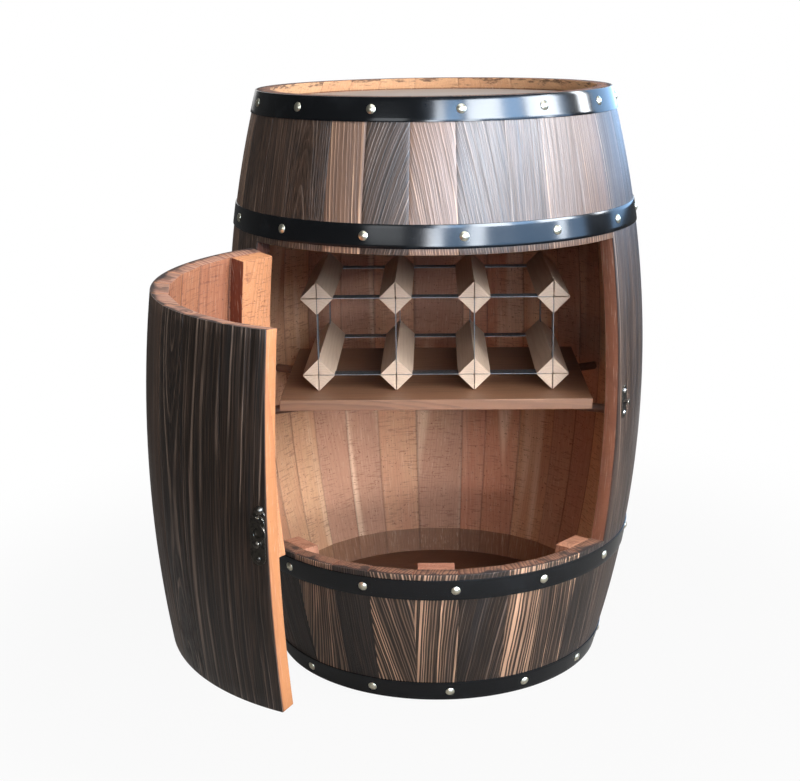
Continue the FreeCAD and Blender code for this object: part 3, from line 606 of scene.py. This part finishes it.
def make_hoops(paint, nail_metal):
    rivet_spots = []
    for name, (z0, phase) in HOOPS.items():
        make_hoop(name, z0, phase, paint)
        z = z0 + HOOP_WIDTH / 2
        spots = [(phase + 360.0 / NAIL_COUNT * n, z, HOOP_THICKNESS) for n in range(NAIL_COUNT)]
        make_heads(name + "_nail_heads", name + "_nails", spots, NAIL_RADIUS, NAIL_HEIGHT,
                   nail_metal)
        step = math.degrees(HOOP_LAP / 4 / surface_radius(z))
        rivet_spots += [(lap_bearing(phase) + side * step, z, 2 * HOOP_THICKNESS) for side in (-1, 1)]
    make_heads("hoop_rivet_heads", "hoop_rivets", rivet_spots, RIVET_RADIUS, RIVET_HEIGHT,
               paint)


# --- materials

class Signal:
    """A number that a material works out at every point. Sums on it add nodes to the material."""

    def __init__(self, nodes, socket):
        self.nodes, self.socket = nodes, socket

    def __add__(self, other):
        return self.nodes.math("ADD", self, other)

    def __sub__(self, other):
        return self.nodes.math("SUBTRACT", self, other)

    def __rsub__(self, other):
        return self.nodes.math("SUBTRACT", other, self)

    def __mul__(self, other):
        return self.nodes.math("MULTIPLY", self, other)

    def __truediv__(self, other):
        return self.nodes.math("DIVIDE", self, other)

    __radd__ = __add__
    __rmul__ = __mul__

    def swing(self, amount):
        """Noise turned into a change up and down, by half of amount each way."""
        return (self - 0.5) * amount

    def clamped(self):
        """The same sum, kept between 0 and 1."""
        self.socket.node.use_clamp = True
        return self


class Nodes:
    """Short ways to write the node tree of a material or of the world."""

    def __init__(self, owner):
        self.owner = owner
        owner.use_nodes = True
        self.tree = owner.node_tree
        self.tree.nodes.clear()

    def new(self, kind, **settings):
        node = self.tree.nodes.new(kind)
        for key, value in settings.items():
            setattr(node, key, value)
        return node

    def feed(self, socket, value):
        if isinstance(value, Signal):
            value = value.socket
        if isinstance(value, bpy.types.NodeSocket):
            self.tree.links.new(value, socket)
        else:
            socket.default_value = value

    def math(self, operation, *values):
        node = self.new("ShaderNodeMath", operation=operation)
        for socket, value in zip(node.inputs, values):
            self.feed(socket, value)
        return Signal(self, node.outputs[0])

    def split(self, vector):
        node = self.new("ShaderNodeSeparateXYZ")
        self.feed(node.inputs[0], vector)
        return [Signal(self, output) for output in node.outputs]

    def attribute(self, name):
        node = self.new("ShaderNodeAttribute", attribute_name=name, attribute_type="GEOMETRY")
        return node.outputs["Vector"]

    def coordinates(self, kind="Object"):
        return self.new("ShaderNodeTexCoord").outputs[kind]

    def rays(self, kind):
        """1 for one kind of ray and 0 for all others."""
        return Signal(self, self.new("ShaderNodeLightPath").outputs[kind])

    def vector(self, x, y, z):
        node = self.new("ShaderNodeCombineXYZ")
        for socket, value in zip(node.inputs, (x, y, z)):
            self.feed(socket, value)
        return node.outputs[0]

    def noise(self, vector, scale=1.0, detail=2.0, roughness=0.5):
        node = self.new("ShaderNodeTexNoise")
        for key, value in (("Vector", vector), ("Scale", scale), ("Detail", detail),
                           ("Roughness", roughness)):
            self.feed(node.inputs[key], value)
        return Signal(self, node.outputs["Fac"])

    def grain_noise(self, across, along, detail=2.0, roughness=0.5):
        """Noise with so many waves a metre across the grain, and in depth, and so many along it."""
        node = self.new("ShaderNodeVectorMath", operation="MULTIPLY")
        self.feed(node.inputs[0], self.attribute("grain"))
        self.feed(node.inputs[1], (across, along, across))
        return self.noise(node.outputs[0], 1.0, detail, roughness)

    def random(self, value):
        node = self.new("ShaderNodeTexWhiteNoise", noise_dimensions="1D")
        self.feed(node.inputs["W"], value)
        return Signal(self, node.outputs["Value"])

    def step(self, value, low, high):
        """0 below low, 1 above high, smooth between; low may be the greater."""
        node = self.new("ShaderNodeMapRange", interpolation_type="SMOOTHSTEP")
        low_end, high_end = (0.0, 1.0) if low <= high else (1.0, 0.0)
        for key, number in (("From Min", min(low, high)), ("From Max", max(low, high)),
                            ("To Min", low_end), ("To Max", high_end), ("Value", value)):
            self.feed(node.inputs[key], number)
        return Signal(self, node.outputs["Result"])

    def mix(self, share, a, b):
        """A colour that goes from a to b as share goes from 0 to 1."""
        node = self.new("ShaderNodeMix", data_type="RGBA")
        self.feed(node.inputs[0], share)
        for socket, value in ((node.inputs[6], a), (node.inputs[7], b)):
            self.feed(socket, (*value, 1.0) if isinstance(value, tuple) else value)
        return node.outputs[2]

    def bump(self, height, distance, strength):
        node = self.new("ShaderNodeBump")
        for key, value in (("Strength", strength), ("Distance", distance), ("Height", height)):
            self.feed(node.inputs[key], value)
        return node.outputs["Normal"]

    def glow(self, kind, strength):
        """White light from a floor or a world."""
        node = self.new(kind)
        self.feed(node.inputs["Color"], (1, 1, 1, 1))
        self.feed(node.inputs["Strength"], strength)
        return node.outputs[0]

    def output(self, shader, kind="ShaderNodeOutputMaterial"):
        self.feed(self.new(kind).inputs["Surface"], shader)
        return self.owner

    def finish(self, color, roughness, normal, **sockets):
        shader = self.new("ShaderNodeBsdfPrincipled")
        sockets.update({"Base Color": color, "Roughness": roughness, "Normal": normal})
        for key, value in sockets.items():
            self.feed(shader.inputs[key.replace("_", " ")], value)
        return self.output(shader.outputs["BSDF"])


def new_material(name):
    return Nodes(bpy.data.materials.new(name))


# growth rings: how far they sway sideways (m), and by how many rings good and poor years shift them
RING_SWAY = 0.03
RING_WAVE = 0.003
SEASON_SHIFT = 2.4
SEASON_WAVES = (75.0, 0.8)

# charred wood, from the ground up
CHAR_BLACK, CHAR_BROWN = (0.0135, 0.0090, 0.0060), (0.310, 0.183, 0.128)
LINE_GREY, LINE_TAN = (0.30, 0.215, 0.170), (0.60, 0.39, 0.27)
PORE_BLACK = (0.010, 0.0075, 0.0065)
LINE_START = 0.78
LINE_RISE = 0.12
CUT_WEAR = (0.014, 0.002)

# raw wood
FIBRE_PALE, PAINTED_LIGHT_PALE = (0.86, 0.66, 0.50), (0.86, 0.66, 0.48)
JOINT_DARK, STAIN_DARK = (0.07, 0.03, 0.018), (0.05, 0.026, 0.018)
SOOT, END_SOOT, END_RIM = (0.02, 0.012, 0.010), (0.03, 0.02, 0.016), (0.022, 0.016, 0.015)
SOOT_DEPTH = (0.0026, 0.0010)
STAIN_REACH = (0.011, 0.001)
RIM_DEPTH = (0.0075, 0.0015)


def growth_rings(n, wobble=RING_WAVE):
    """What the saw shows of the growth rings: (place within a ring 0 to 1, ring's own random value)."""
    across, along, depth = n.split(n.attribute("grain"))
    spacing = n.split(n.attribute("look"))[2]
    swayed = across + n.grain_noise(0.0, 2.6, detail=1.0).swing(RING_SWAY)
    radius = n.math("SQRT", swayed * swayed + depth * depth)
    radius = radius + n.grain_noise(16, 1.7).swing(wobble * 2)
    radius = radius + n.grain_noise(50, 12).swing(wobble * 1.1)
    seasons = n.vector(radius * SEASON_WAVES[0], along * SEASON_WAVES[1], 0.0)
    turns = radius / spacing + n.noise(seasons, detail=1.0).swing(SEASON_SHIFT)
    return n.math("FRACT", turns), n.random(n.math("FLOOR", turns))


def charred_wood():
    """Torched and brushed fir under a half-gloss seal: black ground, thin pale to tan latewood lines."""
    n = new_material("charred_fir")
    tone, streaks, _ = n.split(n.attribute("look"))
    cut = n.split(n.attribute("place"))[2]
    within, ring = growth_rings(n, 0.004)
    fibre = n.grain_noise(620, 12, roughness=0.6)

    # latewood lines with a hair line between them, broader on boards whose streaks pass 1
    broad = (streaks - 1.0).clamped()
    start = LINE_START - ring * 0.16 - broad * 0.5
    line = ((within - start) / LINE_RISE).clamped() * n.step(within, 1.0, 0.93)
    hair = n.step(n.math("FRACT", within * 3.0 + 0.3), 0.72, 0.95)
    line = n.math("MAXIMUM", line, hair * 0.22)

    # how strongly they show: by ring, in patches, by board, and near a sawn end, where the char is worn
    patch = n.step(n.grain_noise(30, 5), 0.42, 0.60)
    strength = (n.step(ring, 0.20, 0.85) + 0.15) * (patch * 0.85 + 0.15) + broad * 0.45
    strength = strength * n.math("MINIMUM", streaks, 1.4)
    strength = (strength + n.step(cut, *CUT_WEAR) * (tone + 0.25)).clamped()
    amount = ((line * (fibre * 0.9 + 0.6)).clamped() * strength).clamped()

    ground = (fibre.swing(0.7) + tone * 0.8 + within * tone * 0.45).clamped()
    color = n.mix(ground, CHAR_BLACK, CHAR_BROWN)
    warm = n.math("MAXIMUM", n.step(tone, 0.15, 0.60), n.step(streaks, 0.95, 1.15))
    color = n.mix(amount, color, n.mix(warm, LINE_GREY, LINE_TAN))
    pore = n.step(n.grain_noise(330, 5), 0.48, 0.64)
    color = n.mix(pore * 0.30, color, PORE_BLACK)
    relief = fibre * 0.35 + line * 0.8 - pore * 0.2
    return n.finish(color, fibre * 0.16 + pore * 0.15 + 0.27, n.bump(relief, 0.00035, 0.7),
                    Specular_IOR_Level=0.48)


def raw_fir(name, pink, yellow, dark, saw=1.0, edge_dark=0.6, stain=0.0, rings=1.0, mauve=None):
    """Unfinished fir: saw marks across the board, faint rings, specks and dark joints. Boards lie
    between pink and yellow; where mauve is given, some take that and some have pale streaks of painted
    light."""
    n = new_material(name)
    along = n.split(n.attribute("grain"))[1]
    share_across, skin, _ = n.split(n.attribute("place"))
    within, ring = growth_rings(n)
    fibre = n.grain_noise(900, 25, roughness=0.6)
    patch = n.grain_noise(30, 7, detail=3.0)
    board_tone = n.random(n.math("FLOOR", along / TONE_SPAN))
    color = n.mix((patch.swing(0.9) + board_tone).clamped(), pink, yellow)
    if mauve:
        cooler = n.random(n.math("MULTIPLY_ADD", n.step(board_tone, 0.0, 1.0), 37.0, 5.3))
        color = n.mix(n.step(cooler, 0.55, 0.75) * 0.85, color, mauve)
        # painted light: pale vertical streaks over the inside boards, standing in for light falling on
        # them
        lit = n.step(n.grain_noise(26, 1.2, detail=1.0), 0.56, 0.70)
        color = n.mix(lit * 0.55, color, PAINTED_LIGHT_PALE)

    color = n.mix(n.step(within, 0.45, 0.95) * (ring * 0.35 + 0.12) * rings, color, dark)
    marks = n.step(n.grain_noise(45, 420, roughness=0.7), 0.53, 0.66) * n.step(patch, 0.34, 0.56)
    color = n.mix(marks * (0.5 * saw), color, dark)
    specks = n.grain_noise(300, 260, detail=1.0)
    color = n.mix(n.step(specks, 0.66, 0.75) * (0.75 * saw), color, dark)
    color = n.mix(n.step(fibre, 0.56, 0.72) * 0.28, color, FIBRE_PALE)
    joint = n.step(n.math("ABSOLUTE", share_across), 0.90, 1.0)
    color = n.mix(joint * edge_dark, color, JOINT_DARK)
    if stain:
        to_end = n.math("ABSOLUTE", n.split(n.coordinates())[2] - HEIGHT / 2)
        near_end = n.step(to_end, *[HEIGHT / 2 - reach for reach in STAIN_REACH])
        blotch = n.grain_noise(40, 150, detail=4.0, roughness=0.65) + near_end * 0.12
        color = n.mix(n.step(blotch, 0.56, 0.72) * stain, color, STAIN_DARK)
    color = n.mix((n.step(skin, *SOOT_DEPTH) * (patch * 0.8 + 0.45)).clamped(), color, SOOT)
    relief = fibre * 0.5 - marks * (0.8 * saw)
    return n.finish(color, fibre * 0.2 + 0.62, n.bump(relief, 0.0005, 0.6), Specular_IOR_Level=0.3)


def end_grain(name, light, dark, soot):
    """A sawn end: arcs of growth rings crossed by slanting saw marks, with soot at the outer arris."""
    n = new_material(name)
    across, _, depth = n.split(n.attribute("grain"))
    skin = n.split(n.attribute("place"))[1]
    within, _ = growth_rings(n, 0.0015)
    color = n.mix(n.step(within, 0.3, 0.95), light, dark)
    saw = n.noise(n.vector(across * 520.0 + depth * 330.0, 0.0, across * 20.0), detail=1.0)
    color = n.mix(n.step(saw, 0.45, 0.7) * 0.5, color, dark)
    patch = n.grain_noise(45, 45, detail=3.0)
    color = n.mix(n.step(patch, 0.52, 0.66) * soot, color, END_SOOT)
    color = n.mix(n.step(skin - patch.swing(0.012), *RIM_DEPTH) * 0.9, color, END_RIM)
    relief = saw * 0.8 + n.grain_noise(700, 700) * 0.4
    return n.finish(color, 0.72, n.bump(relief, 0.0004, 0.7), Specular_IOR_Level=0.3)


def plain_board(name, light, dark, roughness, contrast, patches=0.7):
    """Planed board with quiet rings, for the shelf, the heads and the rack."""
    n = new_material(name)
    tone = n.split(n.attribute("look"))[0]
    within, ring = growth_rings(n)
    fibre = n.grain_noise(1000, 20, roughness=0.6)
    late = n.step(within, 0.35, 0.95) * (ring * 0.5 + 0.4)
    share = n.grain_noise(18, 3, detail=3.0).swing(patches) + late * contrast + fibre.swing(0.6)
    color = n.mix((share + tone * 0.5).clamped(), light, dark)
    relief = fibre * 0.6 + late * 0.4
    return n.finish(color, fibre * 0.2 + (roughness - 0.1), n.bump(relief, 0.0003, 0.5),
                    Specular_IOR_Level=0.4)


def hoop_paint():
    """Black gloss enamel on rolled steel, uneven in its film and in its shine."""
    n = new_material("hoop_black_gloss")
    film = n.noise(n.coordinates(), 38.0, 3.0)
    smear = n.noise(n.coordinates(), 9.0)
    color = n.mix(n.step(film, 0.5, 0.75), (0.0045, 0.0055, 0.007), (0.010, 0.012, 0.015))
    roughness = n.step(smear, 0.40, 0.65) * 0.09 + 0.14
    return n.finish(color, roughness, n.bump(smear + film * 0.12, 0.0006, 0.5), Specular_IOR_Level=0.39)


def metal(name, light, dark, roughness, grime, scale=300.0):
    """Worn metal: bright where it is rubbed, dark in patches."""
    n = new_material(name)
    patch = n.noise(n.coordinates(), scale, 4.0, 0.6)
    fine = n.noise(n.coordinates(), scale * 5)
    color = n.mix(n.step(patch, 0.40, 0.68) * grime, light, dark)
    return n.finish(color, patch * 0.25 + (roughness - 0.1), n.bump(fine * 0.4 + patch, 0.0001, 0.5),
                    Metallic=1.0)


# --- stage: camera, floor, world and lamps

FOCAL_PIXELS = 1400.0
FRAME_WIDTH = 800.0
SENSOR = 36.0
CLIP_END = 100.0
CAMERA_AT = Vector((0.0, -1.952, 0.902))
CAMERA_YAW = -0.0263
CAMERA_PITCH = 0.2661
CAMERA_ROLL = 0.0142

FLOOR_HALF_WIDTH = 30.0
FLOOR_GREY = (0.30, 0.30, 0.30, 1)
FLOOR_GLOW = 0.93
FLOOR_FADE = (0.45, 1.1)
MIRRORED_FLOOR = (1.4, 0.8)
PAPER_FRONT = (-0.9, -0.5)
PAPER_SIDE = (1.0, 0.7)
ROOM_LIGHT = 0.08
BACKDROP_HALF_ANGLE = 20.0
BACKDROP_FADE = 8.0


def make_camera():
    yaw, pitch, roll = CAMERA_YAW, CAMERA_PITCH, CAMERA_ROLL
    ahead = Vector((math.sin(yaw) * math.cos(pitch), math.cos(yaw) * math.cos(pitch), -math.sin(pitch)))
    right = Vector((math.cos(yaw), -math.sin(yaw), 0))
    down = ahead.cross(right)
    right, down = (right * math.cos(roll) + down * math.sin(roll),
                   down * math.cos(roll) - right * math.sin(roll))
    data = bpy.data.cameras.new("camera")
    data.sensor_width = SENSOR
    data.lens = FOCAL_PIXELS / FRAME_WIDTH * SENSOR
    data.clip_end = CLIP_END
    camera = bpy.data.objects.new("camera", data)
    bpy.context.scene.collection.objects.link(camera)
    axes = Matrix((right, -down, -ahead)).transposed()
    camera.matrix_world = Matrix.Translation(CAMERA_AT) @ axes.to_4x4()
    bpy.context.scene.camera = camera


def white_ground():
    """Pale floor: it takes the cabinet's shadow near it and fades into the white background. Gloss
    mirrors it as it is lit near the cabinet, and white further off, as far as it reaches forward."""
    n = new_material("studio_floor")
    x, y, _ = n.split(n.coordinates())
    reach = n.math("SQRT", x * x + y * y)
    mirrored = n.rays("Is Glossy Ray")
    paper = n.step(y, *PAPER_FRONT) * n.step(n.math("ABSOLUTE", x), *PAPER_SIDE)
    seen = n.math("MAXIMUM", n.rays("Is Camera Ray"), n.rays("Is Transmission Ray"))
    seen = n.math("MAXIMUM", seen, mirrored * n.math("MAXIMUM", paper, ROOM_LIGHT))
    share = n.step(reach, *FLOOR_FADE) * (1 - FLOOR_GLOW) + FLOOR_GLOW
    share = share * (1.0 - mirrored * n.step(reach, *MIRRORED_FLOOR))
    diffuse = n.new("ShaderNodeBsdfDiffuse")
    diffuse.inputs["Color"].default_value = FLOOR_GREY
    blend = n.new("ShaderNodeMixShader")
    glow = n.glow("ShaderNodeEmission", seen)
    for socket, value in zip(blend.inputs, (share, diffuse.outputs[0], glow)):
        n.feed(socket, value)
    return n.output(blend.outputs[0])


def make_floor():
    mesh = bpy.data.meshes.new("studio_floor")
    corners = [(x * FLOOR_HALF_WIDTH, y * FLOOR_HALF_WIDTH, 0)
               for x, y in ((-1, -1), (1, -1), (1, 1), (-1, 1))]
    mesh.from_pydata(corners, [], [(0, 1, 2, 3)])
    mesh.materials.append(white_ground())
    floor = bpy.data.objects.new("studio_floor", mesh)
    bpy.context.scene.collection.objects.link(floor)


def make_world():
    """White backdrop behind the cabinet, and a dim room in front that only the wood and gloss see."""
    world = bpy.data.worlds.new("studio")
    bpy.context.scene.world = world
    n = Nodes(world)
    seen = n.math("MAXIMUM", n.rays("Is Camera Ray"), n.rays("Is Transmission Ray"))
    backwards = n.split(n.coordinates("Generated"))[1]
    behind = n.step(backwards, math.cos(math.radians(BACKDROP_HALF_ANGLE + BACKDROP_FADE)),
                    math.cos(math.radians(BACKDROP_HALF_ANGLE)))
    seen = n.math("MAXIMUM", seen, n.rays("Is Glossy Ray") * behind)
    strength = n.math("MAXIMUM", seen, ROOM_LIGHT)
    n.output(n.glow("ShaderNodeBackground", strength), "ShaderNodeOutputWorld")


AIM_Z = 0.55
LAMP_DISTANCE = 3.2
WINDOW_LIGHT = (0.90, 0.95, 1.0)
SKY_LIGHT = (0.36, 0.62, 1.0)
KEY_LIGHT = (1.0, 0.97, 0.93)

# Lamps are given by bearing, span, lowest and highest elevation in degrees, and radiance.
# Only gloss mirrors the window panes and the sky behind them; a pane gives a share of the radiance.
WINDOW_RADIANCE = 31.0
WINDOW_PANES = [(4, 6, 13, 31, 0.7), (31, 22, 13, 31, 1.0), (70, 24, 13, 31, 1.0),
                (104, 9, 10, 30, 0.9), (0, 8, 0, 12, 0.8), (22, 9, 0, 12, 0.8), (71, 5, 0, 12, 0.8),
                (12, 9, 14, 30, 0.40), (49, 13, 14, 30, 0.45), (-26, 20, 8, 24, 0.12),
                (138, 50, 0, 30, 0.13)]
BLUE_PANES = (7, 8, 10)
SKY_PANEL = (44, 90, -4, 34, 5.2)
SKY_DISTANCE = 4.2
# Only matt light comes from these.
WOOD_LAMPS = {"key": (60, 44, 8, 44, 9.0), "fill": (28, 44, 12, 28, 11.0),
              "left_fill": (-45, 40, 15, 45, 2.4)}
# Panels with grids, which light the inside over the sill.
LOW_PANES = [(15.5, 4, -2.6, 2.4, 270.0), (30, 9, -2.6, 2.4, 117.0), (41, 12, -2.6, 2.4, 90.0)]
LOW_DISTANCE = 2.4
LOW_TILT = 7.0
LOW_SPREAD = 13.0
OVERHEAD_AT = (0.3, -0.4, 2.9)
OVERHEAD_SIZE = 2.4
OVERHEAD_RADIANCE = 1.8


def panel_lamp(name, width, height, radiance, color):
    """Flat lamp of a given brightness, facing down until it is turned."""
    data = bpy.data.lights.new(name, "AREA")
    data.shape = "RECTANGLE"
    data.size, data.size_y = width, height
    data.energy = radiance * math.pi * width * height
    data.color = color
    lamp = bpy.data.objects.new(name, data)
    bpy.context.scene.collection.objects.link(lamp)
    lamp.visible_camera = False
    return lamp


def upright_lamp(name, panel, color, distance=LAMP_DISTANCE, share=1.0):
    """Upright panel lamp, as wide and high as the cabinet sees it at that distance."""
    bearing, span, low, high, radiance = panel
    z0, z1 = [AIM_Z + distance * math.tan(math.radians(elevation)) for elevation in (low, high)]
    width = 2 * distance * math.tan(math.radians(span / 2))
    lamp = panel_lamp(name, width, z1 - z0, radiance * share, color)
    lamp.location = outward(bearing) * distance + Vector((0, 0, (z0 + z1) / 2))
    lamp.rotation_euler = (math.radians(90), 0, math.radians(bearing))
    return lamp


def narrow(lamp, tilt, spread):
    """Tips a panel lamp down and narrows its beam as a grid does, at the same radiance."""
    lamp.rotation_euler.x -= math.radians(tilt)
    lamp.data.spread = math.radians(spread)
    lamp.data.energy *= math.tan(math.radians(spread / 2)) ** 2 / 3


def make_lamps():
    mirrored = [upright_lamp("window_%d" % n, pane, SKY_LIGHT if n in BLUE_PANES else WINDOW_LIGHT,
                             share=WINDOW_RADIANCE) for n, pane in enumerate(WINDOW_PANES)]
    mirrored.append(upright_lamp("sky_panel", SKY_PANEL, SKY_LIGHT, SKY_DISTANCE))
    for lamp in mirrored:
        lamp.visible_diffuse = False

    matt = [upright_lamp(name, panel, KEY_LIGHT) for name, panel in WOOD_LAMPS.items()]
    low = [upright_lamp("low_pane_%d" % n, panel, KEY_LIGHT, LOW_DISTANCE)
           for n, panel in enumerate(LOW_PANES)]
    for lamp in low:
        narrow(lamp, LOW_TILT, LOW_SPREAD)
    for lamp in matt + low:
        lamp.visible_glossy = False

    overhead = panel_lamp("overhead", OVERHEAD_SIZE, OVERHEAD_SIZE, OVERHEAD_RADIANCE, WINDOW_LIGHT)
    overhead.location = OVERHEAD_AT


# --- the wood of each surface

char = charred_wood()
raw = raw_fir("raw_fir_inside", (0.50, 0.225, 0.135), (0.66, 0.43, 0.26), (0.19, 0.075, 0.045),
              edge_dark=0.35, rings=0.45, mauve=(0.46, 0.262, 0.178))
# painted shade: the turned howel is coloured darker than the raw inside wood, for the shade in its
# recess
turned = raw_fir("turned_fir_painted_shade", (0.22, 0.105, 0.056), (0.32, 0.170, 0.088), (0.10, 0.04, 0.025),
                 saw=0.3, edge_dark=0.3, rings=0.6)
cheek = raw_fir("stained_fir_edge", (0.195, 0.063, 0.030), (0.24, 0.088, 0.043), (0.14, 0.042, 0.020),
                saw=0.35, edge_dark=0.0)
chime = raw_fir("chime_fir", (0.60, 0.325, 0.172), (0.66, 0.405, 0.225), (0.24, 0.11, 0.06),
                saw=0.5, edge_dark=0.08, stain=0.8, rings=0.3)
chime_end = end_grain("chime_end_grain", (0.30, 0.15, 0.09), (0.10, 0.045, 0.03), 0.8)

door_edge = raw_fir("fresh_fir_edge", (0.54, 0.215, 0.080), (0.60, 0.270, 0.103), (0.42, 0.14, 0.055),
                    saw=0.35, edge_dark=0.0)
door_raw = raw_fir("door_fir_inside", (0.34, 0.125, 0.062), (0.44, 0.19, 0.092), (0.13, 0.04, 0.024))
door_end = end_grain("door_end_grain", (0.46, 0.25, 0.17), (0.24, 0.11, 0.075), 0.55)

# painted shade: the lower front battens get a darker fir than the door's batten, for the shade they sit
# in
batten = raw_fir("batten_fir", (0.40, 0.17, 0.105), (0.46, 0.22, 0.13), (0.18, 0.07, 0.04),
                 edge_dark=0.0)
door_batten = raw_fir("door_batten_fir", (0.60, 0.245, 0.110), (0.68, 0.32, 0.145), (0.24, 0.085, 0.04),
                      edge_dark=0.0)
# painted shade: a darker copy of the batten fir, for the door batten's side that faces away from the
# light
batten_side_painted_shade = raw_fir("batten_side_fir", (0.150, 0.034, 0.014), (0.20, 0.052, 0.020), (0.08, 0.02, 0.01),
                      saw=0.4, edge_dark=0.0)

# the top head's pale grey is partly the charred boards' own colour and partly painted sheen of light
# grazing it
head_top_and_painted_sheen = plain_board("charred_head_boards_and_painted_sheen", (0.39, 0.335, 0.295), (0.20, 0.16, 0.14), 0.42, 0.6, 0.2)
# painted shade: the bottom head boards are coloured much darker than the inside wood, for the shade
# under the sill
head_low_painted_shade = plain_board("bottom_head_boards", (0.145, 0.064, 0.031), (0.08, 0.032, 0.016), 0.55, 0.5)
shelf_wood = plain_board("shelf_boards", (0.25, 0.125, 0.066), (0.13, 0.062, 0.036), 0.48, 0.6)
# painted shade: the shelf pins are coloured dark so that they sink into the shade of the gap they stand
# in
pin_wood_painted_shade = plain_board("shelf_pin_wood", (0.20, 0.095, 0.055), (0.10, 0.045, 0.025), 0.6, 0.5)
rack_wood = plain_board("rack_posts_wood", (0.58, 0.46, 0.36), (0.42, 0.30, 0.22), 0.55, 0.35)

# --- metals

nail_brass = metal("nail_pale_brass", (0.86, 0.80, 0.62), (0.42, 0.36, 0.24), 0.30, 0.6)
steel = metal("strip_steel", (0.17, 0.165, 0.16), (0.07, 0.065, 0.06), 0.48, 0.6)
zinc = metal("hinge_zinc", (0.35, 0.34, 0.32), (0.13, 0.12, 0.10), 0.38, 0.6)
bronze = metal("antique_bronze", (0.16, 0.138, 0.112), (0.045, 0.041, 0.037), 0.30, 0.8, 220.0)
# the bright bronze on the rounded arrises is partly rubbed wear and partly painted highlight
worn_bronze_and_painted_highlight = metal("antique_bronze_worn_and_painted_highlight", (0.62, 0.54, 0.42), (0.16, 0.13, 0.10), 0.24, 0.7, 160.0)
screw_metal = metal("screw_nickel", (0.78, 0.76, 0.70), (0.35, 0.32, 0.26), 0.28, 0.5)


# --- how boards that are dressed from the CAD lie in the log

def upright(point, middle):
    """Grain of a board that stands along Z."""
    return point.x - middle.x + point.y - middle.y, point.z, point.y - middle.y


def lengthwise(point, middle):
    """Grain of a board that lies along X."""
    return point.y - middle.y, point.x, point.z - middle.z


def front_to_back(point, middle):
    """Grain of a post that lies along Y."""
    return point.x - middle.x, point.y, point.z - middle.z


def pile(tone, streaks, spacing, pith=60.0, spread=30.0):
    """Boards of one kind, none quite like the other: gives the look of board n."""
    def look(n):
        dice = random.Random(n + round(tone * 100))
        return board(tone + dice.uniform(-0.1, 0.1), streaks, spacing * dice.uniform(0.8, 1.2),
                     dice.uniform(-0.03, 0.03), pith * dice.uniform(0.5, 1.3), dice.uniform(-0.03, 0.03),
                     dice.uniform(-spread, spread))
    return look


# --- build

make_staves([char, cheek, raw, turned, chime_end, chime],
            [char, door_edge, door_raw, turned, door_end, chime])
make_hoops(hoop_paint(), nail_brass)

# the side of the door's batten that takes painted shade, a darker copy of its wood
BATTEN_PAINTED_SHADE_SIDE = Vector((-0.6, -0.8, 0))

# node, body, slot, materials, size of the rounded arris, its segments, and for wood its grain and look
DRESSED = [
    ("top_head_boards", "cabinet", "head_boards_wood", [head_top_and_painted_sheen], 0.0008, 2, lengthwise,
     pile(0.45, 0.4, 4.5)),
    ("bottom_head_boards", "cabinet", "head_boards_wood", [head_low_painted_shade], 0.0006, 2, lengthwise,
     pile(0.3, 0.4, 4.5)),
    ("shelf", "cabinet", "shelf_wood", [shelf_wood], 0.0012, 3, lengthwise, pile(0.3, 0.4, 5.0)),
    ("rack_posts_lower", "cabinet", "rack_wood", [rack_wood], 0.0005, 2, front_to_back,
     pile(0.2, 0.3, 3.5, 30.0, 10.0)),
    ("rack_posts_upper", "cabinet", "rack_wood", [rack_wood], 0.0005, 2, front_to_back,
     pile(0.2, 0.3, 3.5, 30.0, 10.0)),
    ("lower_front_battens", "cabinet", "raw_fir", [batten], 0.0009, 2, upright, pile(0.3, 0.4, 4.5)),
    ("door_hinge_batten", "door", "raw_fir", [door_batten, batten_side_painted_shade], 0.0009, 2, upright,
     pile(0.3, 0.4, 4.5), BATTEN_PAINTED_SHADE_SIDE),
    ("shelf_pins", "cabinet", "rack_wood", [pin_wood_painted_shade], 0.0006, 2, lengthwise, pile(0.5, 0.3, 3.0)),
]
for row in ("rack_level_strips", "rack_upright_strips"):
    DRESSED.append((row, "cabinet", "strip_steel", [steel], 0.00015, 1))
for level in ("lower", "upper"):
    DRESSED += [("hinge_frame_leaf_" + level, "cabinet", "hinge_steel", [zinc], 0.00025, 2),
                ("hinge_pin_" + level, "cabinet", "hinge_steel", [zinc], 0.0003, 2),
                ("hinge_door_leaf_" + level, "door", "hinge_steel", [zinc], 0.00025, 2)]
BRONZES = [bronze, worn_bronze_and_painted_highlight]
DRESSED += [("hinge_frame_screws", "cabinet", "hinge_steel", [zinc], 0.0002, 1),
            ("hinge_door_screws", "door", "hinge_steel", [zinc], 0.0002, 1),
            ("catch_plate", "cabinet", "antique_bronze", BRONZES, 0.0003, 2),
            ("catch_stud", "cabinet", "antique_bronze", BRONZES, 0.0005, 3),
            ("catch_screws", "cabinet", "nail_metal", [screw_metal], 0.0003, 2),
            ("latch_plate", "door", "antique_bronze", BRONZES, 0.00035, 2),
            ("latch_rivet", "door", "antique_bronze", BRONZES, 0.0003, 2),
            ("latch_screws", "door", "antique_bronze", BRONZES, 0.0003, 2),
            ("latch_hook", "latch_hook_arm", "antique_bronze", BRONZES, 0.0005, 3)]
for row in DRESSED:
    dressed(*row)

make_camera()
make_floor()
make_world()
make_lamps()
bpy.context.scene.view_settings.view_transform = "Standard"
